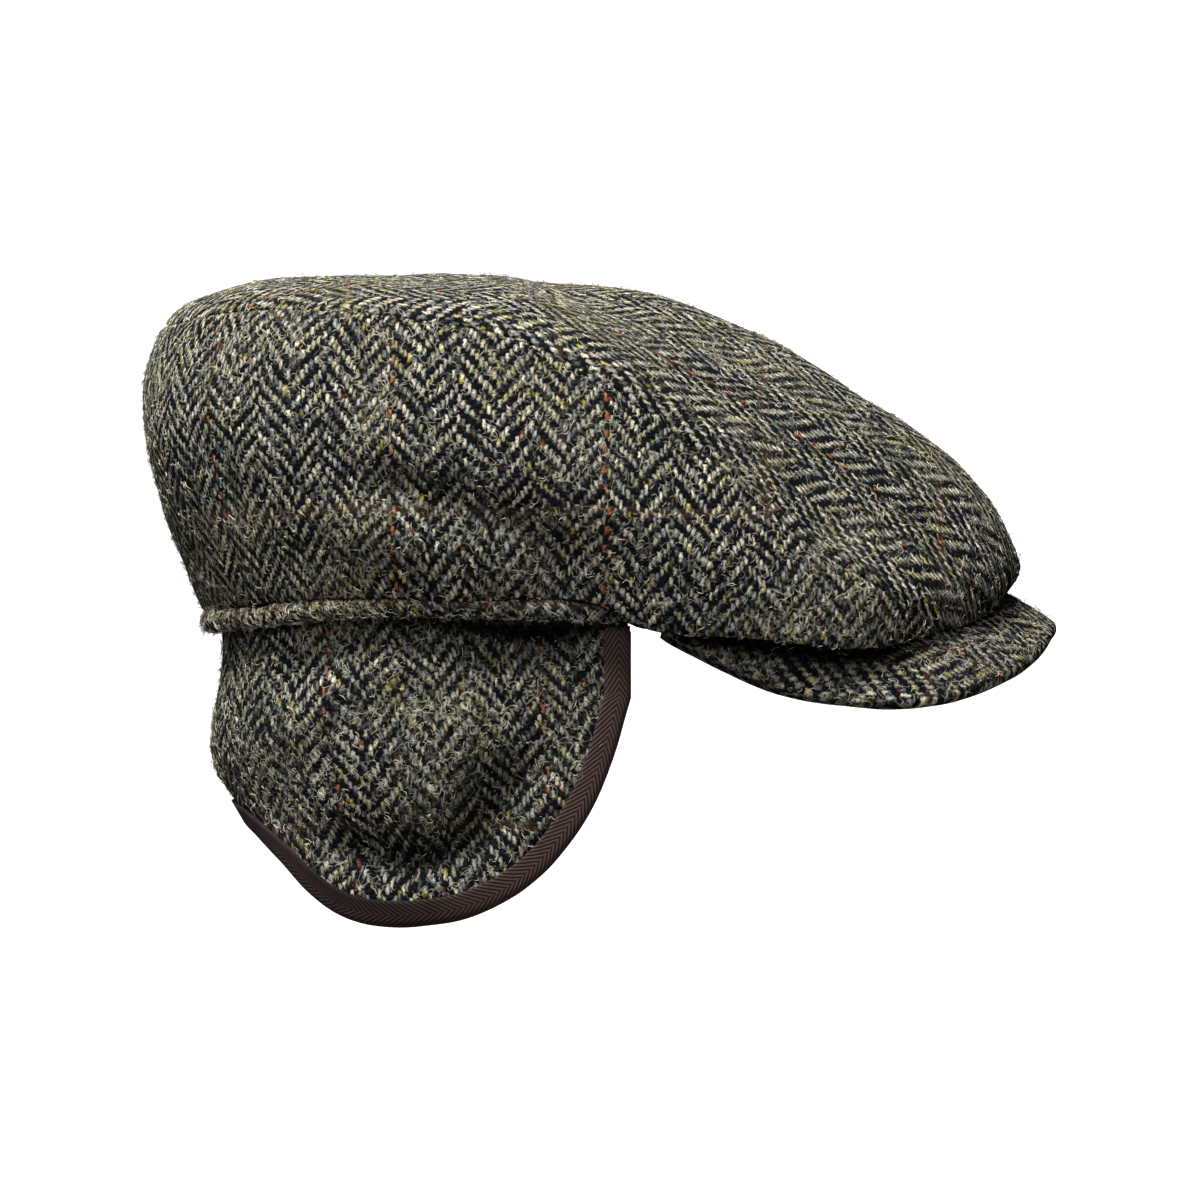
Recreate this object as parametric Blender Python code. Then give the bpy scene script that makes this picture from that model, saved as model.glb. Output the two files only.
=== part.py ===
"""Herringbone tweed flat cap with a wrap-round ear and neck flap let down below its rim.

Metres, +Z up. The origin is the middle of the head opening, level with the rim at the back.
The peak points along -Y, and the cap is the same left and right of X = 0.
Angles go round the head from 0 at the front to 180 at the back.
"""

import math

import bmesh
import bpy
import numpy as np

# Cloth, tape and the gaps between pieces
TWEED = 0.0020
LINING = 0.0010
TAPE = 0.0008
GAP = 0.0003

# Rim: the middle line of the rolled hem, seen from above
RIM_WIDTH = 0.1680
RIM_FRONT = 0.0990
RIM_BACK = 0.0977
RIM_SQUARENESS = 2.3
RIM_DIP = 0.0050

# Rolled hem
HEM_THICKNESS = 0.0066
HEM_END_ANGLE = 67.0
HEM_SIDES = 8

# Crown
CROWN_WIDTH = 0.2000
CROWN_FRONT = 0.1577
CROWN_BACK = 0.1195
CROWN_SQUARENESS = 2.5
CROWN_HEIGHT = 0.1085
LIP_SAG = 0.0130
LIP_TURN = 0.0070
LIP_TURN_SLOPE = 31.0
LOW_SIDE_OUT = 0.62
LOW_SIDE_UP = 0.45

# How far past the last whole column the side panel's point reaches, share of a column
SEAM_TIP = 0.15

# Peak
PEAK_REACH = 0.1690
PEAK_WIDTH = 0.1540
PEAK_THICKNESS = 0.0045
PEAK_DROP = 0.0257
PEAK_ROOT_RISE = 0.0220
PEAK_CAMBER = 0.0060
PEAK_ROOT_ANGLE = 58.0

# Flap
FLAP_DEPTH = 0.0935
FLAP_FRONT_ANGLE = 65.3
FLAP_TUCK = 0.0030
TAPE_WIDTH = 0.0083

# Facets
CROWN_STEP = 6
TIP_STEPS = (1.5, 3.0, 4.5)
SIDE_ROWS = 8
ROW_CROWDING = 1.6
TOP_ROWS = 12
PEAK_COLUMNS = 28
PEAK_ROWS = 6
FLAP_COLUMNS = 32
FLAP_ROWS = 6
FLAP_ROW_CROWDING = 1.2
HEM_COLUMNS = 48

# Rim height. Angle; dip below the back, or rise above it where below 0, share of RIM_DIP
RIM_LINE = (
    (0, 1.00),
    (66, -0.27),
    (80, -0.47),
    (92, -0.57),
    (103, -0.66),
    (115, -0.64),
    (130, -0.50),
    (145, -0.13),
    (180, 0.00),
)

# Crown lip. Angle; overhang past the rim, share of the front overhang; how much it rests on the peak
# rather than the hem; sag below that height, share of LIP_SAG; turn under, share of LIP_TURN
CROWN_LIP = (
    (0, 0.862, 1.00, 0.00, 1.00),
    (12, 0.862, 0.85, 0.43, 1.00),
    (20, 0.806, 0.65, 0.71, 1.00),
    (30, 0.655, 0.40, 0.94, 1.00),
    (40, 0.488, 0.20, 1.00, 1.00),
    (50, 0.290, 0.10, 0.78, 1.00),
    (60, 0.145, 0.00, 0.62, 0.50),
    (66, 0.105, 0.00, 0.52, 0.20),
    (71, 0.085, 0.00, 0.29, 0.10),
    (76, 0.060, 0.00, 0.08, 0.10),
    (82, 0.015, 0.00, 0.00, 0.06),
    (90, 0.000, 0.00, 0.00, 0.06),
    (180, 0.000, 0.00, 0.00, 0.06),
)

# Crown sections. Angle; then radius as a share of the crown's plan oval and height as a share of
# CROWN_HEIGHT, at the fullest point, the upper side, the shoulder and the top
CROWN_SECTIONS = (
    (0, 1.014, 0.140, 0.932, 0.385, 0.709, 0.636, 0.380, 0.900),
    (12, 1.004, 0.125, 0.929, 0.350, 0.712, 0.620, 0.381, 0.895),
    (20, 0.994, 0.096, 0.920, 0.296, 0.715, 0.585, 0.390, 0.887),
    (30, 0.978, 0.072, 0.905, 0.235, 0.735, 0.537, 0.407, 0.875),
    (40, 0.972, 0.078, 0.905, 0.238, 0.773, 0.514, 0.428, 0.872),
    (50, 0.950, 0.120, 0.897, 0.345, 0.782, 0.583, 0.442, 0.876),
    (60, 0.947, 0.190, 0.894, 0.485, 0.779, 0.682, 0.456, 0.883),
    (70, 0.964, 0.295, 0.900, 0.590, 0.778, 0.755, 0.470, 0.898),
    (90, 1.000, 0.430, 0.908, 0.745, 0.775, 0.849, 0.485, 0.940),
    (115, 0.985, 0.500, 0.907, 0.814, 0.772, 0.902, 0.475, 0.962),
    (140, 0.975, 0.561, 0.905, 0.854, 0.775, 0.938, 0.455, 0.985),
    (160, 0.990, 0.590, 0.940, 0.821, 0.825, 0.936, 0.453, 0.998),
    (180, 1.000, 0.585, 0.973, 0.800, 0.862, 0.938, 0.460, 1.005),
)

# Seam between top and side. Angle; share of the section's length from the lip's turned edge to the top
CROWN_SEAM = (
    (24, 0.000),
    (27, 0.050),
    (30, 0.082),
    (35, 0.127),
    (40, 0.180),
    (50, 0.285),
    (60, 0.355),
    (75, 0.421),
    (90, 0.468),
    (115, 0.480),
    (140, 0.465),
    (160, 0.452),
    (180, 0.450),
)

# Peak sections. Share of the way from the middle to the corner; outer edge: across, share of half
# PEAK_WIDTH; along, share of PEAK_REACH; drop, share of PEAK_DROP; root: rise, share of PEAK_ROOT_RISE;
# camber, share of PEAK_CAMBER
PEAK_SECTIONS = (
    (0.00, 0.000, 0.987, 0.05, 1.00, 1.00),
    (0.12, 0.180, 0.985, 0.09, 0.98, 0.78),
    (0.24, 0.360, 0.973, 0.19, 0.92, 0.57),
    (0.36, 0.540, 0.945, 0.40, 0.82, 0.59),
    (0.48, 0.710, 0.905, 0.58, 0.69, 0.58),
    (0.60, 0.845, 0.843, 0.77, 0.53, 0.62),
    (0.70, 0.925, 0.760, 0.94, 0.38, 0.58),
    (0.80, 0.975, 0.640, 1.00, 0.24, 0.50),
    (0.90, 0.995, 0.470, 0.80, 0.14, 0.40),
    (1.00, 0.990, 0.265, 0.15, 0.10, 0.20),
)

# Flap outline. Angle; depth below the rim, share of FLAP_DEPTH
FLAP_OUTLINE = (
    (65.3, 0.262),
    (66.8, 0.342),
    (68.3, 0.425),
    (70.0, 0.504),
    (72.1, 0.583),
    (74.9, 0.663),
    (78.6, 0.743),
    (83.4, 0.824),
    (90.5, 0.904),
    (100.5, 0.971),
    (110.5, 0.996),
    (117.0, 1.000),
    (123.5, 0.990),
    (130.5, 0.955),
    (137.5, 0.890),
    (146.0, 0.795),
    (160.0, 0.706),
    (180.0, 0.685),
)

# Flap sections. Angle; radius as a share of the rim's, at the belly, low down and at FLAP_DEPTH
FLAP_SECTIONS = (
    (65, 0.960, 0.960, 0.945),
    (90, 0.970, 0.955, 0.915),
    (115, 0.985, 0.975, 0.935),
    (140, 0.995, 0.972, 0.885),
    (160, 1.000, 0.962, 0.745),
    (180, 1.003, 0.958, 0.620),
)
FLAP_LEVELS = (0.04, 0.10, 0.38, 0.54, 1.00)

# Finishes
TWEED_COLOUR = (0.115, 0.108, 0.085, 1.0)
LINING_COLOUR = (0.008, 0.010, 0.020, 1.0)
TAPE_COLOUR = (0.045, 0.028, 0.025, 1.0)


def read_table(table, at):
    """Smooth value of each column of a table. A table that begins at 0 or ends at 180 is mirrored there."""
    keys = [row[0] for row in table]
    values = [np.array(row[1:], dtype=float) for row in table]
    if keys[0] == 0:
        before = (-keys[1], values[1])
    else:
        before = (2 * keys[0] - keys[1], 2 * values[0] - values[1])
    if keys[-1] == 180:
        after = (360 - keys[-2], values[-2])
    else:
        after = (2 * keys[-1] - keys[-2], 2 * values[-1] - values[-2])
    keys = [before[0]] + keys + [after[0]]
    values = [before[1]] + values + [after[1]]
    at = min(max(at, keys[1]), keys[-2])
    i = 1
    while at > keys[i + 1] and i < len(keys) - 3:
        i += 1
    span = keys[i + 1] - keys[i]
    start = (values[i + 1] - values[i - 1]) / (keys[i + 1] - keys[i - 1]) * span
    end = (values[i + 2] - values[i]) / (keys[i + 2] - keys[i]) * span
    t = (at - keys[i]) / span
    return hermite(values[i], start, values[i + 1], end, t)


def hermite(a, start, b, end, t):
    """Cubic from a to b with the given slopes."""
    t2 = t * t
    t3 = t2 * t
    return (2 * t3 - 3 * t2 + 1) * a + (t3 - 2 * t2 + t) * start + (3 * t2 - 2 * t3) * b + (t3 - t2) * end


def smooth_path(points, count, after=None):
    """Points at even distances along a smooth curve through the given ones."""
    points = [np.array(p, dtype=float) for p in points]
    first = 2 * points[0] - points[1]
    last = 2 * points[-1] - points[-2] if after is None else np.array(after, dtype=float)
    chain = [first] + points + [last]
    steps = 12
    fine = []
    for i in range(1, len(chain) - 2):
        here = np.linalg.norm(chain[i + 1] - chain[i])
        slope_a = (chain[i + 1] - chain[i - 1]) / (np.linalg.norm(chain[i] - chain[i - 1]) + here) * here
        slope_b = (chain[i + 2] - chain[i]) / (here + np.linalg.norm(chain[i + 2] - chain[i + 1])) * here
        for k in range(steps):
            fine.append(hermite(chain[i], slope_a, chain[i + 1], slope_b, k / steps))
    fine.append(points[-1])
    fine = np.array(fine)
    run = np.concatenate(([0.0], np.cumsum(np.linalg.norm(np.diff(fine, axis=0), axis=1))))
    stations = np.linspace(0.0, run[-1], count)
    return np.stack([np.interp(stations, run, fine[:, c]) for c in range(fine.shape[1])], axis=1)


def fold(angle):
    """Angle of the same place on the cap's right half, 0 to 180."""
    angle = abs(angle) % 360
    return min(angle, 360 - angle)


def oval(angle, width, front, back, squareness):
    """Distance from the origin to a squared oval, at an angle from the front."""
    a = math.radians(fold(angle))
    length = front if math.cos(a) > 0 else back
    across = abs(math.sin(a)) / (width / 2)
    along = abs(math.cos(a)) / length
    return (across**squareness + along**squareness) ** (-1 / squareness)


def rim_radius(angle):
    """Radius of the rolled hem's middle line."""
    return oval(angle, RIM_WIDTH, RIM_FRONT, RIM_BACK, RIM_SQUARENESS)


def rim_height(angle):
    """Height of the rolled hem's middle line."""
    return -RIM_DIP * read_table(RIM_LINE, fold(angle))[0]


def place(angle, radius, height):
    """Point at an angle round the head."""
    a = math.radians(angle)
    return np.array((radius * math.sin(a), -radius * math.cos(a), height))


def unit(v):
    """Vector of length one."""
    return v / max(np.linalg.norm(v), 1e-12)


# Peak


def peak_middle(side, out):
    """Point halfway through the peak's thickness. side is -1 to 1 across, out is 0 at the root, 1 outside."""
    across, along, drop, rise, camber = read_table(PEAK_SECTIONS, abs(side))
    angle = PEAK_ROOT_ANGLE * side
    root = place(angle, rim_radius(angle) - PEAK_THICKNESS / 2, PEAK_ROOT_RISE * rise)
    edge_across = math.copysign(across * PEAK_WIDTH / 2, side)
    edge = np.array((edge_across, -along * PEAK_REACH, -drop * PEAK_DROP))
    lift = 4 * out * (1 - out) * camber * PEAK_CAMBER
    return root + (edge - root) * out + np.array((0.0, 0.0, lift))


def peak_frame(side, out):
    """The peak's outward direction and upward normal."""
    step = 0.01
    outward = unit(peak_middle(side, out + step) - peak_middle(side, out - step))
    low = max(side - step, -1.0)
    high = min(side + step, 1.0)
    sideways = peak_middle(high, out) - peak_middle(low, out)
    normal = unit(np.cross(outward, sideways))
    if normal[2] < 0:
        normal = -normal
    return outward, normal


def peak_section(side):
    """Closed loop through the peak from root to rounded edge and back."""
    half = PEAK_THICKNESS / 2
    loop = []
    for k in range(PEAK_ROWS + 1):
        out = k / PEAK_ROWS
        _, normal = peak_frame(side, out)
        loop.append(peak_middle(side, out) + normal * half)
    outward, normal = peak_frame(side, 1.0)
    for turn in (60, 0, -60):
        a = math.radians(turn)
        loop.append(peak_middle(side, 1.0) + (outward * math.cos(a) + normal * math.sin(a)) * half)
    for k in range(PEAK_ROWS, -1, -1):
        out = k / PEAK_ROWS
        _, normal = peak_frame(side, out)
        loop.append(peak_middle(side, out) - normal * half)
    return loop


def peak_top(reach):
    """Height of the peak's upper face on its middle line, at a distance from the origin."""
    outs = np.linspace(0.0, 1.0, 41)
    faces = []
    for out in outs:
        _, normal = peak_frame(0.0, out)
        faces.append(peak_middle(0.0, out) + normal * PEAK_THICKNESS / 2)
    faces = np.array(faces)
    return float(np.interp(reach, -faces[:, 1], faces[:, 2]))


# Crown


def lip_points(angle):
    """The turned-under edge and the lip of the crown at an angle."""
    over, on_peak, sag, turn = read_table(CROWN_LIP, fold(angle))
    front_overhang = CROWN_FRONT - RIM_FRONT
    hem_top = HEM_THICKNESS / 2 * math.cos(math.pi / HEM_SIDES)
    radius = rim_radius(angle) + TWEED * 0.8 + over * front_overhang
    on_hem = rim_height(angle) + hem_top + GAP
    front_lip = RIM_FRONT + TWEED * 0.8 + CROWN_LIP[0][1] * front_overhang
    on_top = peak_top(front_lip - TWEED) + GAP + TWEED * 0.2
    height = on_hem + (on_top - on_hem) * on_peak - sag * LIP_SAG
    slope = math.radians(LIP_TURN_SLOPE)
    turned = place(angle, radius - turn * LIP_TURN * math.cos(slope), height + turn * LIP_TURN * math.sin(slope))
    return turned, place(angle, radius, height)


def crown_section(angle):
    """Points of the crown's outer face at an angle, from the turned edge to the middle of the top."""
    shares = read_table(CROWN_SECTIONS, fold(angle))
    radius = oval(angle, CROWN_WIDTH, CROWN_FRONT, CROWN_BACK, CROWN_SQUARENESS)
    turned, lip = lip_points(angle)
    points = [turned, lip]
    for k in range(0, 8, 2):
        points.append(place(angle, radius * shares[k], CROWN_HEIGHT * shares[k + 1]))
    out = (points[2] - lip) * LOW_SIDE_OUT
    up = (points[2] - lip) * LOW_SIDE_UP
    points.insert(2, lip + np.array((out[0], out[1], up[2])))
    points.append(np.array((0.0, 0.0, CROWN_HEIGHT)))
    far = read_table(CROWN_SECTIONS, fold(angle + 180))
    far_radius = oval(angle + 180, CROWN_WIDTH, CROWN_FRONT, CROWN_BACK, CROWN_SQUARENESS)
    beyond = place(angle + 180, far_radius * far[6], CROWN_HEIGHT * far[7])
    return smooth_path(points, 81, after=beyond)


def crown_surface(columns):
    """Functions that give a crown point, and the same point moved in by the cloth, for a column and a share."""
    sections = [crown_section(angle) for angle in columns]
    last = sections[0].shape[0] - 1

    def outer(column, share):
        x = min(max(share, 0.0), 1.0) * last
        low = min(int(x), last - 1)
        first = int(math.floor(column))
        ends = []
        for number in (first, first + 1):
            section = sections[number % len(sections)]
            ends.append(section[low] + (section[low + 1] - section[low]) * (x - low))
        return ends[0] + (ends[1] - ends[0]) * (column - first)

    def inner(column, share):
        step = 1.5 / last
        if share > 1 - step / 2:
            return outer(column, share) - np.array((0.0, 0.0, TWEED))
        up = outer(column, share + step) - outer(column, share - step)
        along = outer(column + 1, share) - outer(column - 1, share)
        return outer(column, share) - unit(np.cross(along, up)) * TWEED

    return outer, inner


def crown_columns():
    """Angles of the crown's columns, closer together where the seam runs out at the lip."""
    tip = CROWN_SEAM[0][0]
    extra = [tip + step for step in TIP_STEPS]
    return sorted(list(range(0, 360, CROWN_STEP)) + extra + [360 - angle for angle in extra])


def seam_share(angle):
    """Share of the crown section at which the seam lies."""
    if fold(angle) <= CROWN_SEAM[0][0]:
        return 0.0
    return float(read_table(CROWN_SEAM, fold(angle))[0])


# Flap


def flap_radius(angle, height):
    """Radius of the flap's outer face at a height."""
    behind_hem = rim_radius(angle) - HEM_THICKNESS / 2 - GAP
    shares = read_table(FLAP_SECTIONS, fold(angle))
    rim = rim_radius(angle)
    levels = [-FLAP_DEPTH * level for level in FLAP_LEVELS]
    radii = [behind_hem, behind_hem, rim * shares[0], rim * shares[1], rim * shares[2]]
    table = [(-level, radius) for level, radius in zip(levels, radii)]
    return float(read_table(table, -height)[0])


def flap_point(angle, height, depth):
    """Point at a depth below the flap's outer face."""
    step = 0.5
    rise = 0.0005
    here = place(angle, flap_radius(angle, height), height)
    if depth == 0:
        return here
    along = place(angle + step, flap_radius(angle + step, height), height)
    along = along - place(angle - step, flap_radius(angle - step, height), height)
    up = place(angle, flap_radius(angle, height + rise), height + rise)
    up = up - place(angle, flap_radius(angle, height - rise), height - rise)
    return here - unit(np.cross(along, up)) * depth


def flap_path():
    """The flap's edge from its right front top, round the back, to its left front top: angle and height."""
    arc = [(angle, -share * FLAP_DEPTH) for angle, share in FLAP_OUTLINE]
    rim = rim_radius(90)
    flat = [(math.radians(angle) * rim, height) for angle, height in arc]
    flat = smooth_path(flat, FLAP_COLUMNS + 1, after=(2 * flat[-1][0] - flat[-2][0], flat[-2][1]))
    right = [(math.degrees(along / rim), height) for along, height in flat]
    left = [(360 - angle, height) for angle, height in reversed(right[:-1])]
    return right + left


def inset_path(path, inset):
    """A path of angles and heights moved into the flap by a distance."""
    rim = rim_radius(90)
    flat = np.array([(math.radians(angle) * rim, height) for angle, height in path])
    moved = []
    for i in range(len(flat)):
        ahead = flat[min(i + 1, len(flat) - 1)] - flat[max(i - 1, 0)]
        ahead = unit(ahead)
        inward = np.array((-ahead[1], ahead[0]))
        moved.append(flat[i] + inward * inset)
    return [(math.degrees(along / rim), height) for along, height in moved]


# Meshes


def make_object(name, verts, faces, colour, roughness):
    """Named object with its own material, doubles merged and faces pointing out."""
    mesh = bpy.data.meshes.new(name)
    form = bmesh.new()
    points = [form.verts.new(tuple(float(c) for c in v)) for v in verts]
    for face in faces:
        corners = []
        for index in face:
            if points[index] not in corners:
                corners.append(points[index])
        if len(corners) > 2:
            form.faces.new(corners)
    bmesh.ops.remove_doubles(form, verts=form.verts, dist=0.00002)
    bmesh.ops.dissolve_degenerate(form, edges=form.edges, dist=0.00001)
    bmesh.ops.triangulate(form, faces=form.faces)
    bmesh.ops.recalc_face_normals(form, faces=form.faces)
    form.to_mesh(mesh)
    form.free()
    mesh.shade_smooth()
    mesh.set_sharp_from_angle(angle=math.radians(40))
    piece = bpy.data.objects.new(name, mesh)
    bpy.context.collection.objects.link(piece)
    finish = bpy.data.materials.new(name + "_finish")
    finish.use_nodes = True
    shader = finish.node_tree.nodes["Principled BSDF"]
    shader.inputs["Base Color"].default_value = colour
    shader.inputs["Roughness"].default_value = roughness
    shader.inputs["Metallic"].default_value = 0.0
    mesh.materials.append(finish)
    return piece


def make_sheet(name, outer, inner, wraps, colour, roughness):
    """Closed sheet between two grids of rows and columns. A wrapping sheet joins its last column to its first."""
    rows, columns = outer.shape[:2]
    verts = list(outer.reshape(-1, 3)) + list(inner.reshape(-1, 3))
    half = rows * columns
    faces = []
    spans = columns if wraps else columns - 1
    for j in range(rows - 1):
        for i in range(spans):
            n = (i + 1) % columns
            quad = (j * columns + i, j * columns + n, (j + 1) * columns + n, (j + 1) * columns + i)
            faces.append(quad)
            faces.append(tuple(half + q for q in reversed(quad)))
    for i in range(spans):
        n = (i + 1) % columns
        top = (rows - 1) * columns
        faces.append((i, half + i, half + n, n))
        faces.append((top + i, top + n, half + top + n, half + top + i))
    if not wraps:
        for j in range(rows - 1):
            low = j * columns
            high = (j + 1) * columns
            faces.append((low, high, half + high, half + low))
            low += columns - 1
            high += columns - 1
            faces.append((low, half + low, half + high, high))
    return make_object(name, verts, faces, colour, roughness)


def make_swept(name, loops, colour, roughness):
    """Closed body through a row of loops, capped at both ends."""
    size = len(loops[0])
    verts = [v for loop in loops for v in loop]
    faces = []
    for i in range(len(loops) - 1):
        for k in range(size):
            n = (k + 1) % size
            faces.append((i * size + k, i * size + n, (i + 1) * size + n, (i + 1) * size + k))
    faces.append(tuple(range(size - 1, -1, -1)))
    last = (len(loops) - 1) * size
    faces.append(tuple(last + k for k in range(size)))
    return make_object(name, verts, faces, colour, roughness)


def make_peak():
    """Stiff peak covered in tweed."""
    sides = np.linspace(-1.0, 1.0, PEAK_COLUMNS + 1)
    loops = [peak_section(float(side)) for side in sides]
    make_swept("peak", loops, TWEED_COLOUR, 0.95)


def make_crown():
    """Top panel and side panel, parted along the seam."""
    columns = crown_columns()
    outer, inner = crown_surface(columns)
    seam_half = GAP / 2 / CROWN_HEIGHT
    everywhere = list(range(len(columns)))
    beside = [i for i in everywhere if seam_share(columns[i]) > 0]
    tip = beside[0] - 1 + SEAM_TIP
    beside = [tip] + beside + [len(columns) - tip]
    starts = [seam_share(angle) + seam_half if seam_share(angle) > 0 else 0.0 for angle in columns]
    lows = [0.0] * len(beside)
    highs = [0.0] + [starts[i] - 2 * seam_half for i in beside[1:-1]] + [0.0]
    panels = (
        ("top_panel", everywhere, starts, [1.0] * len(columns), TOP_ROWS, ROW_CROWDING, True),
        ("side_panel", beside, lows, highs, SIDE_ROWS, 1.0, False),
    )
    for name, numbers, lows, highs, rows, crowding, wraps in panels:
        faces = []
        for surface in (outer, inner):
            grid = np.zeros((rows + 1, len(numbers), 3))
            for k, i in enumerate(numbers):
                for j in range(rows + 1):
                    grid[j, k] = surface(i, lows[k] + (highs[k] - lows[k]) * (j / rows) ** crowding)
            faces.append(grid)
        make_sheet(name, faces[0], faces[1], wraps, TWEED_COLOUR, 0.95)


def make_hem():
    """Rolled hem, from one peak corner round the back to the other."""
    loops = []
    half = HEM_THICKNESS / 2
    for angle in np.linspace(HEM_END_ANGLE, 360 - HEM_END_ANGLE, HEM_COLUMNS + 1):
        loop = []
        for k in range(HEM_SIDES):
            a = math.tau * (k + 0.5) / HEM_SIDES
            radius = rim_radius(angle) + half * math.cos(a)
            loop.append(place(angle, radius, rim_height(angle) + half * math.sin(a)))
        loops.append(loop)
    make_swept("rolled_hem", loops, TWEED_COLOUR, 0.95)


def make_flap():
    """Tweed flap, its lining and the tape folded over its edge."""
    path = flap_path()
    cloth_edge = inset_path(path, TAPE + GAP)
    lining_face = TWEED + GAP
    layers = (
        ("ear_flap", 0.0, TWEED, TWEED_COLOUR, 0.95),
        ("flap_lining", lining_face, lining_face + LINING, LINING_COLOUR, 0.9),
    )
    for name, outer_depth, inner_depth, colour, roughness in layers:
        outer = np.zeros((FLAP_ROWS + 1, len(cloth_edge), 3))
        inner = np.zeros_like(outer)
        for i, (angle, bottom) in enumerate(cloth_edge):
            top = rim_height(angle) + FLAP_TUCK
            for j in range(FLAP_ROWS + 1):
                height = bottom + (top - bottom) * (j / FLAP_ROWS) ** FLAP_ROW_CROWDING
                outer[j, i] = flap_point(angle, height, outer_depth)
                inner[j, i] = flap_point(angle, height, inner_depth)
        make_sheet(name, outer, inner, False, colour, roughness)

    under_hem = rim_height(FLAP_FRONT_ANGLE) - HEM_THICKNESS / 2 - GAP
    first_angle, first_height = path[0]
    steps = 5
    start = []
    for k in range(steps):
        start.append((first_angle, under_hem + (first_height - under_hem) * k / steps))
    finish = [(360 - angle, height) for angle, height in reversed(start)]
    path = start + path + finish
    back_depth = lining_face + LINING + GAP
    corners = (
        (TAPE_WIDTH, -GAP - TAPE),
        (0.0, -GAP - TAPE),
        (0.0, back_depth + TAPE),
        (TAPE_WIDTH, back_depth + TAPE),
        (TAPE_WIDTH, back_depth),
        (TAPE, back_depth),
        (TAPE, -GAP),
        (TAPE_WIDTH, -GAP),
    )
    lines = []
    for inset, depth in corners:
        lines.append([flap_point(angle, height, depth) for angle, height in inset_path(path, inset)])
    loops = [[line[i] for line in lines] for i in range(len(path))]
    make_swept("flap_binding", loops, TAPE_COLOUR, 0.9)


def main():
    """Clear the scene and make each piece."""
    for piece in list(bpy.data.objects):
        bpy.data.objects.remove(piece, do_unlink=True)
    make_peak()
    make_crown()
    make_hem()
    make_flap()


main()
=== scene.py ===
"""Herringbone tweed flat cap with its ear and neck flap let down, laid out as an add-on.

Metres, +Z up. The peak points along -Y. Angles go round the head from 0 at the front to 180 at the back.
Each cloth piece starts as a flat grid, which is laid on the shape that its pattern is cut and sewn to.
"""

import math

import bmesh
import bpy
import numpy as np
from bpy.props import FloatProperty, FloatVectorProperty, IntProperty, PointerProperty
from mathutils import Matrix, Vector


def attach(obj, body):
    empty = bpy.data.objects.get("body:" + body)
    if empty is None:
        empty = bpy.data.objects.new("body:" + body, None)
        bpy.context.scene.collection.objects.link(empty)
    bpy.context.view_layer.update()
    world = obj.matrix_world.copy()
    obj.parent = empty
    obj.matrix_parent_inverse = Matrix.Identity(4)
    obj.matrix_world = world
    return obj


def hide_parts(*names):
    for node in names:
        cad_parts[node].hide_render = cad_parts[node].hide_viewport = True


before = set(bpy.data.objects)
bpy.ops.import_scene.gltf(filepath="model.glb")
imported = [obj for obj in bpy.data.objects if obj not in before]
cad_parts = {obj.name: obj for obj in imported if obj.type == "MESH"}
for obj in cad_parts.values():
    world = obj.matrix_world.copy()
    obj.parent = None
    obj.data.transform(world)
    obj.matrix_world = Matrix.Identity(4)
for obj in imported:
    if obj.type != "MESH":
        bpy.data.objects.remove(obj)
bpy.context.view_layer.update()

bl_info = {
    "name": "Tweed flat cap",
    "version": (1, 0, 0),
    "blender": (4, 5, 0),
    "location": "3D View > Sidebar > Cap",
    "description": "Builds a herringbone tweed flat cap with a let-down ear flap",
    "category": "Object",
}

# Gap left between two pieces
GAP = 0.0003

# Rim height. Angle; dip below the back, or rise above it where below 0, share of the rim's dip
RIM_LINE = (
    (0, 1.00),
    (66, -0.27),
    (80, -0.47),
    (92, -0.57),
    (103, -0.66),
    (115, -0.64),
    (130, -0.50),
    (145, -0.13),
    (180, 0.00),
)

# Crown lip. Angle; overhang past the rim, share of the front overhang; how much it rests on the peak
# rather than the hem; sag between the two; turn under
CROWN_LIP = (
    (0, 0.862, 1.00, 0.00, 1.00),
    (12, 0.862, 0.85, 0.43, 1.00),
    (20, 0.806, 0.65, 0.71, 1.00),
    (30, 0.655, 0.40, 0.94, 1.00),
    (40, 0.488, 0.20, 1.00, 1.00),
    (50, 0.290, 0.10, 0.78, 1.00),
    (60, 0.145, 0.00, 0.62, 0.50),
    (66, 0.105, 0.00, 0.52, 0.20),
    (71, 0.085, 0.00, 0.29, 0.10),
    (76, 0.060, 0.00, 0.08, 0.10),
    (82, 0.015, 0.00, 0.00, 0.06),
    (90, 0.000, 0.00, 0.00, 0.06),
    (180, 0.000, 0.00, 0.00, 0.06),
)

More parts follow.
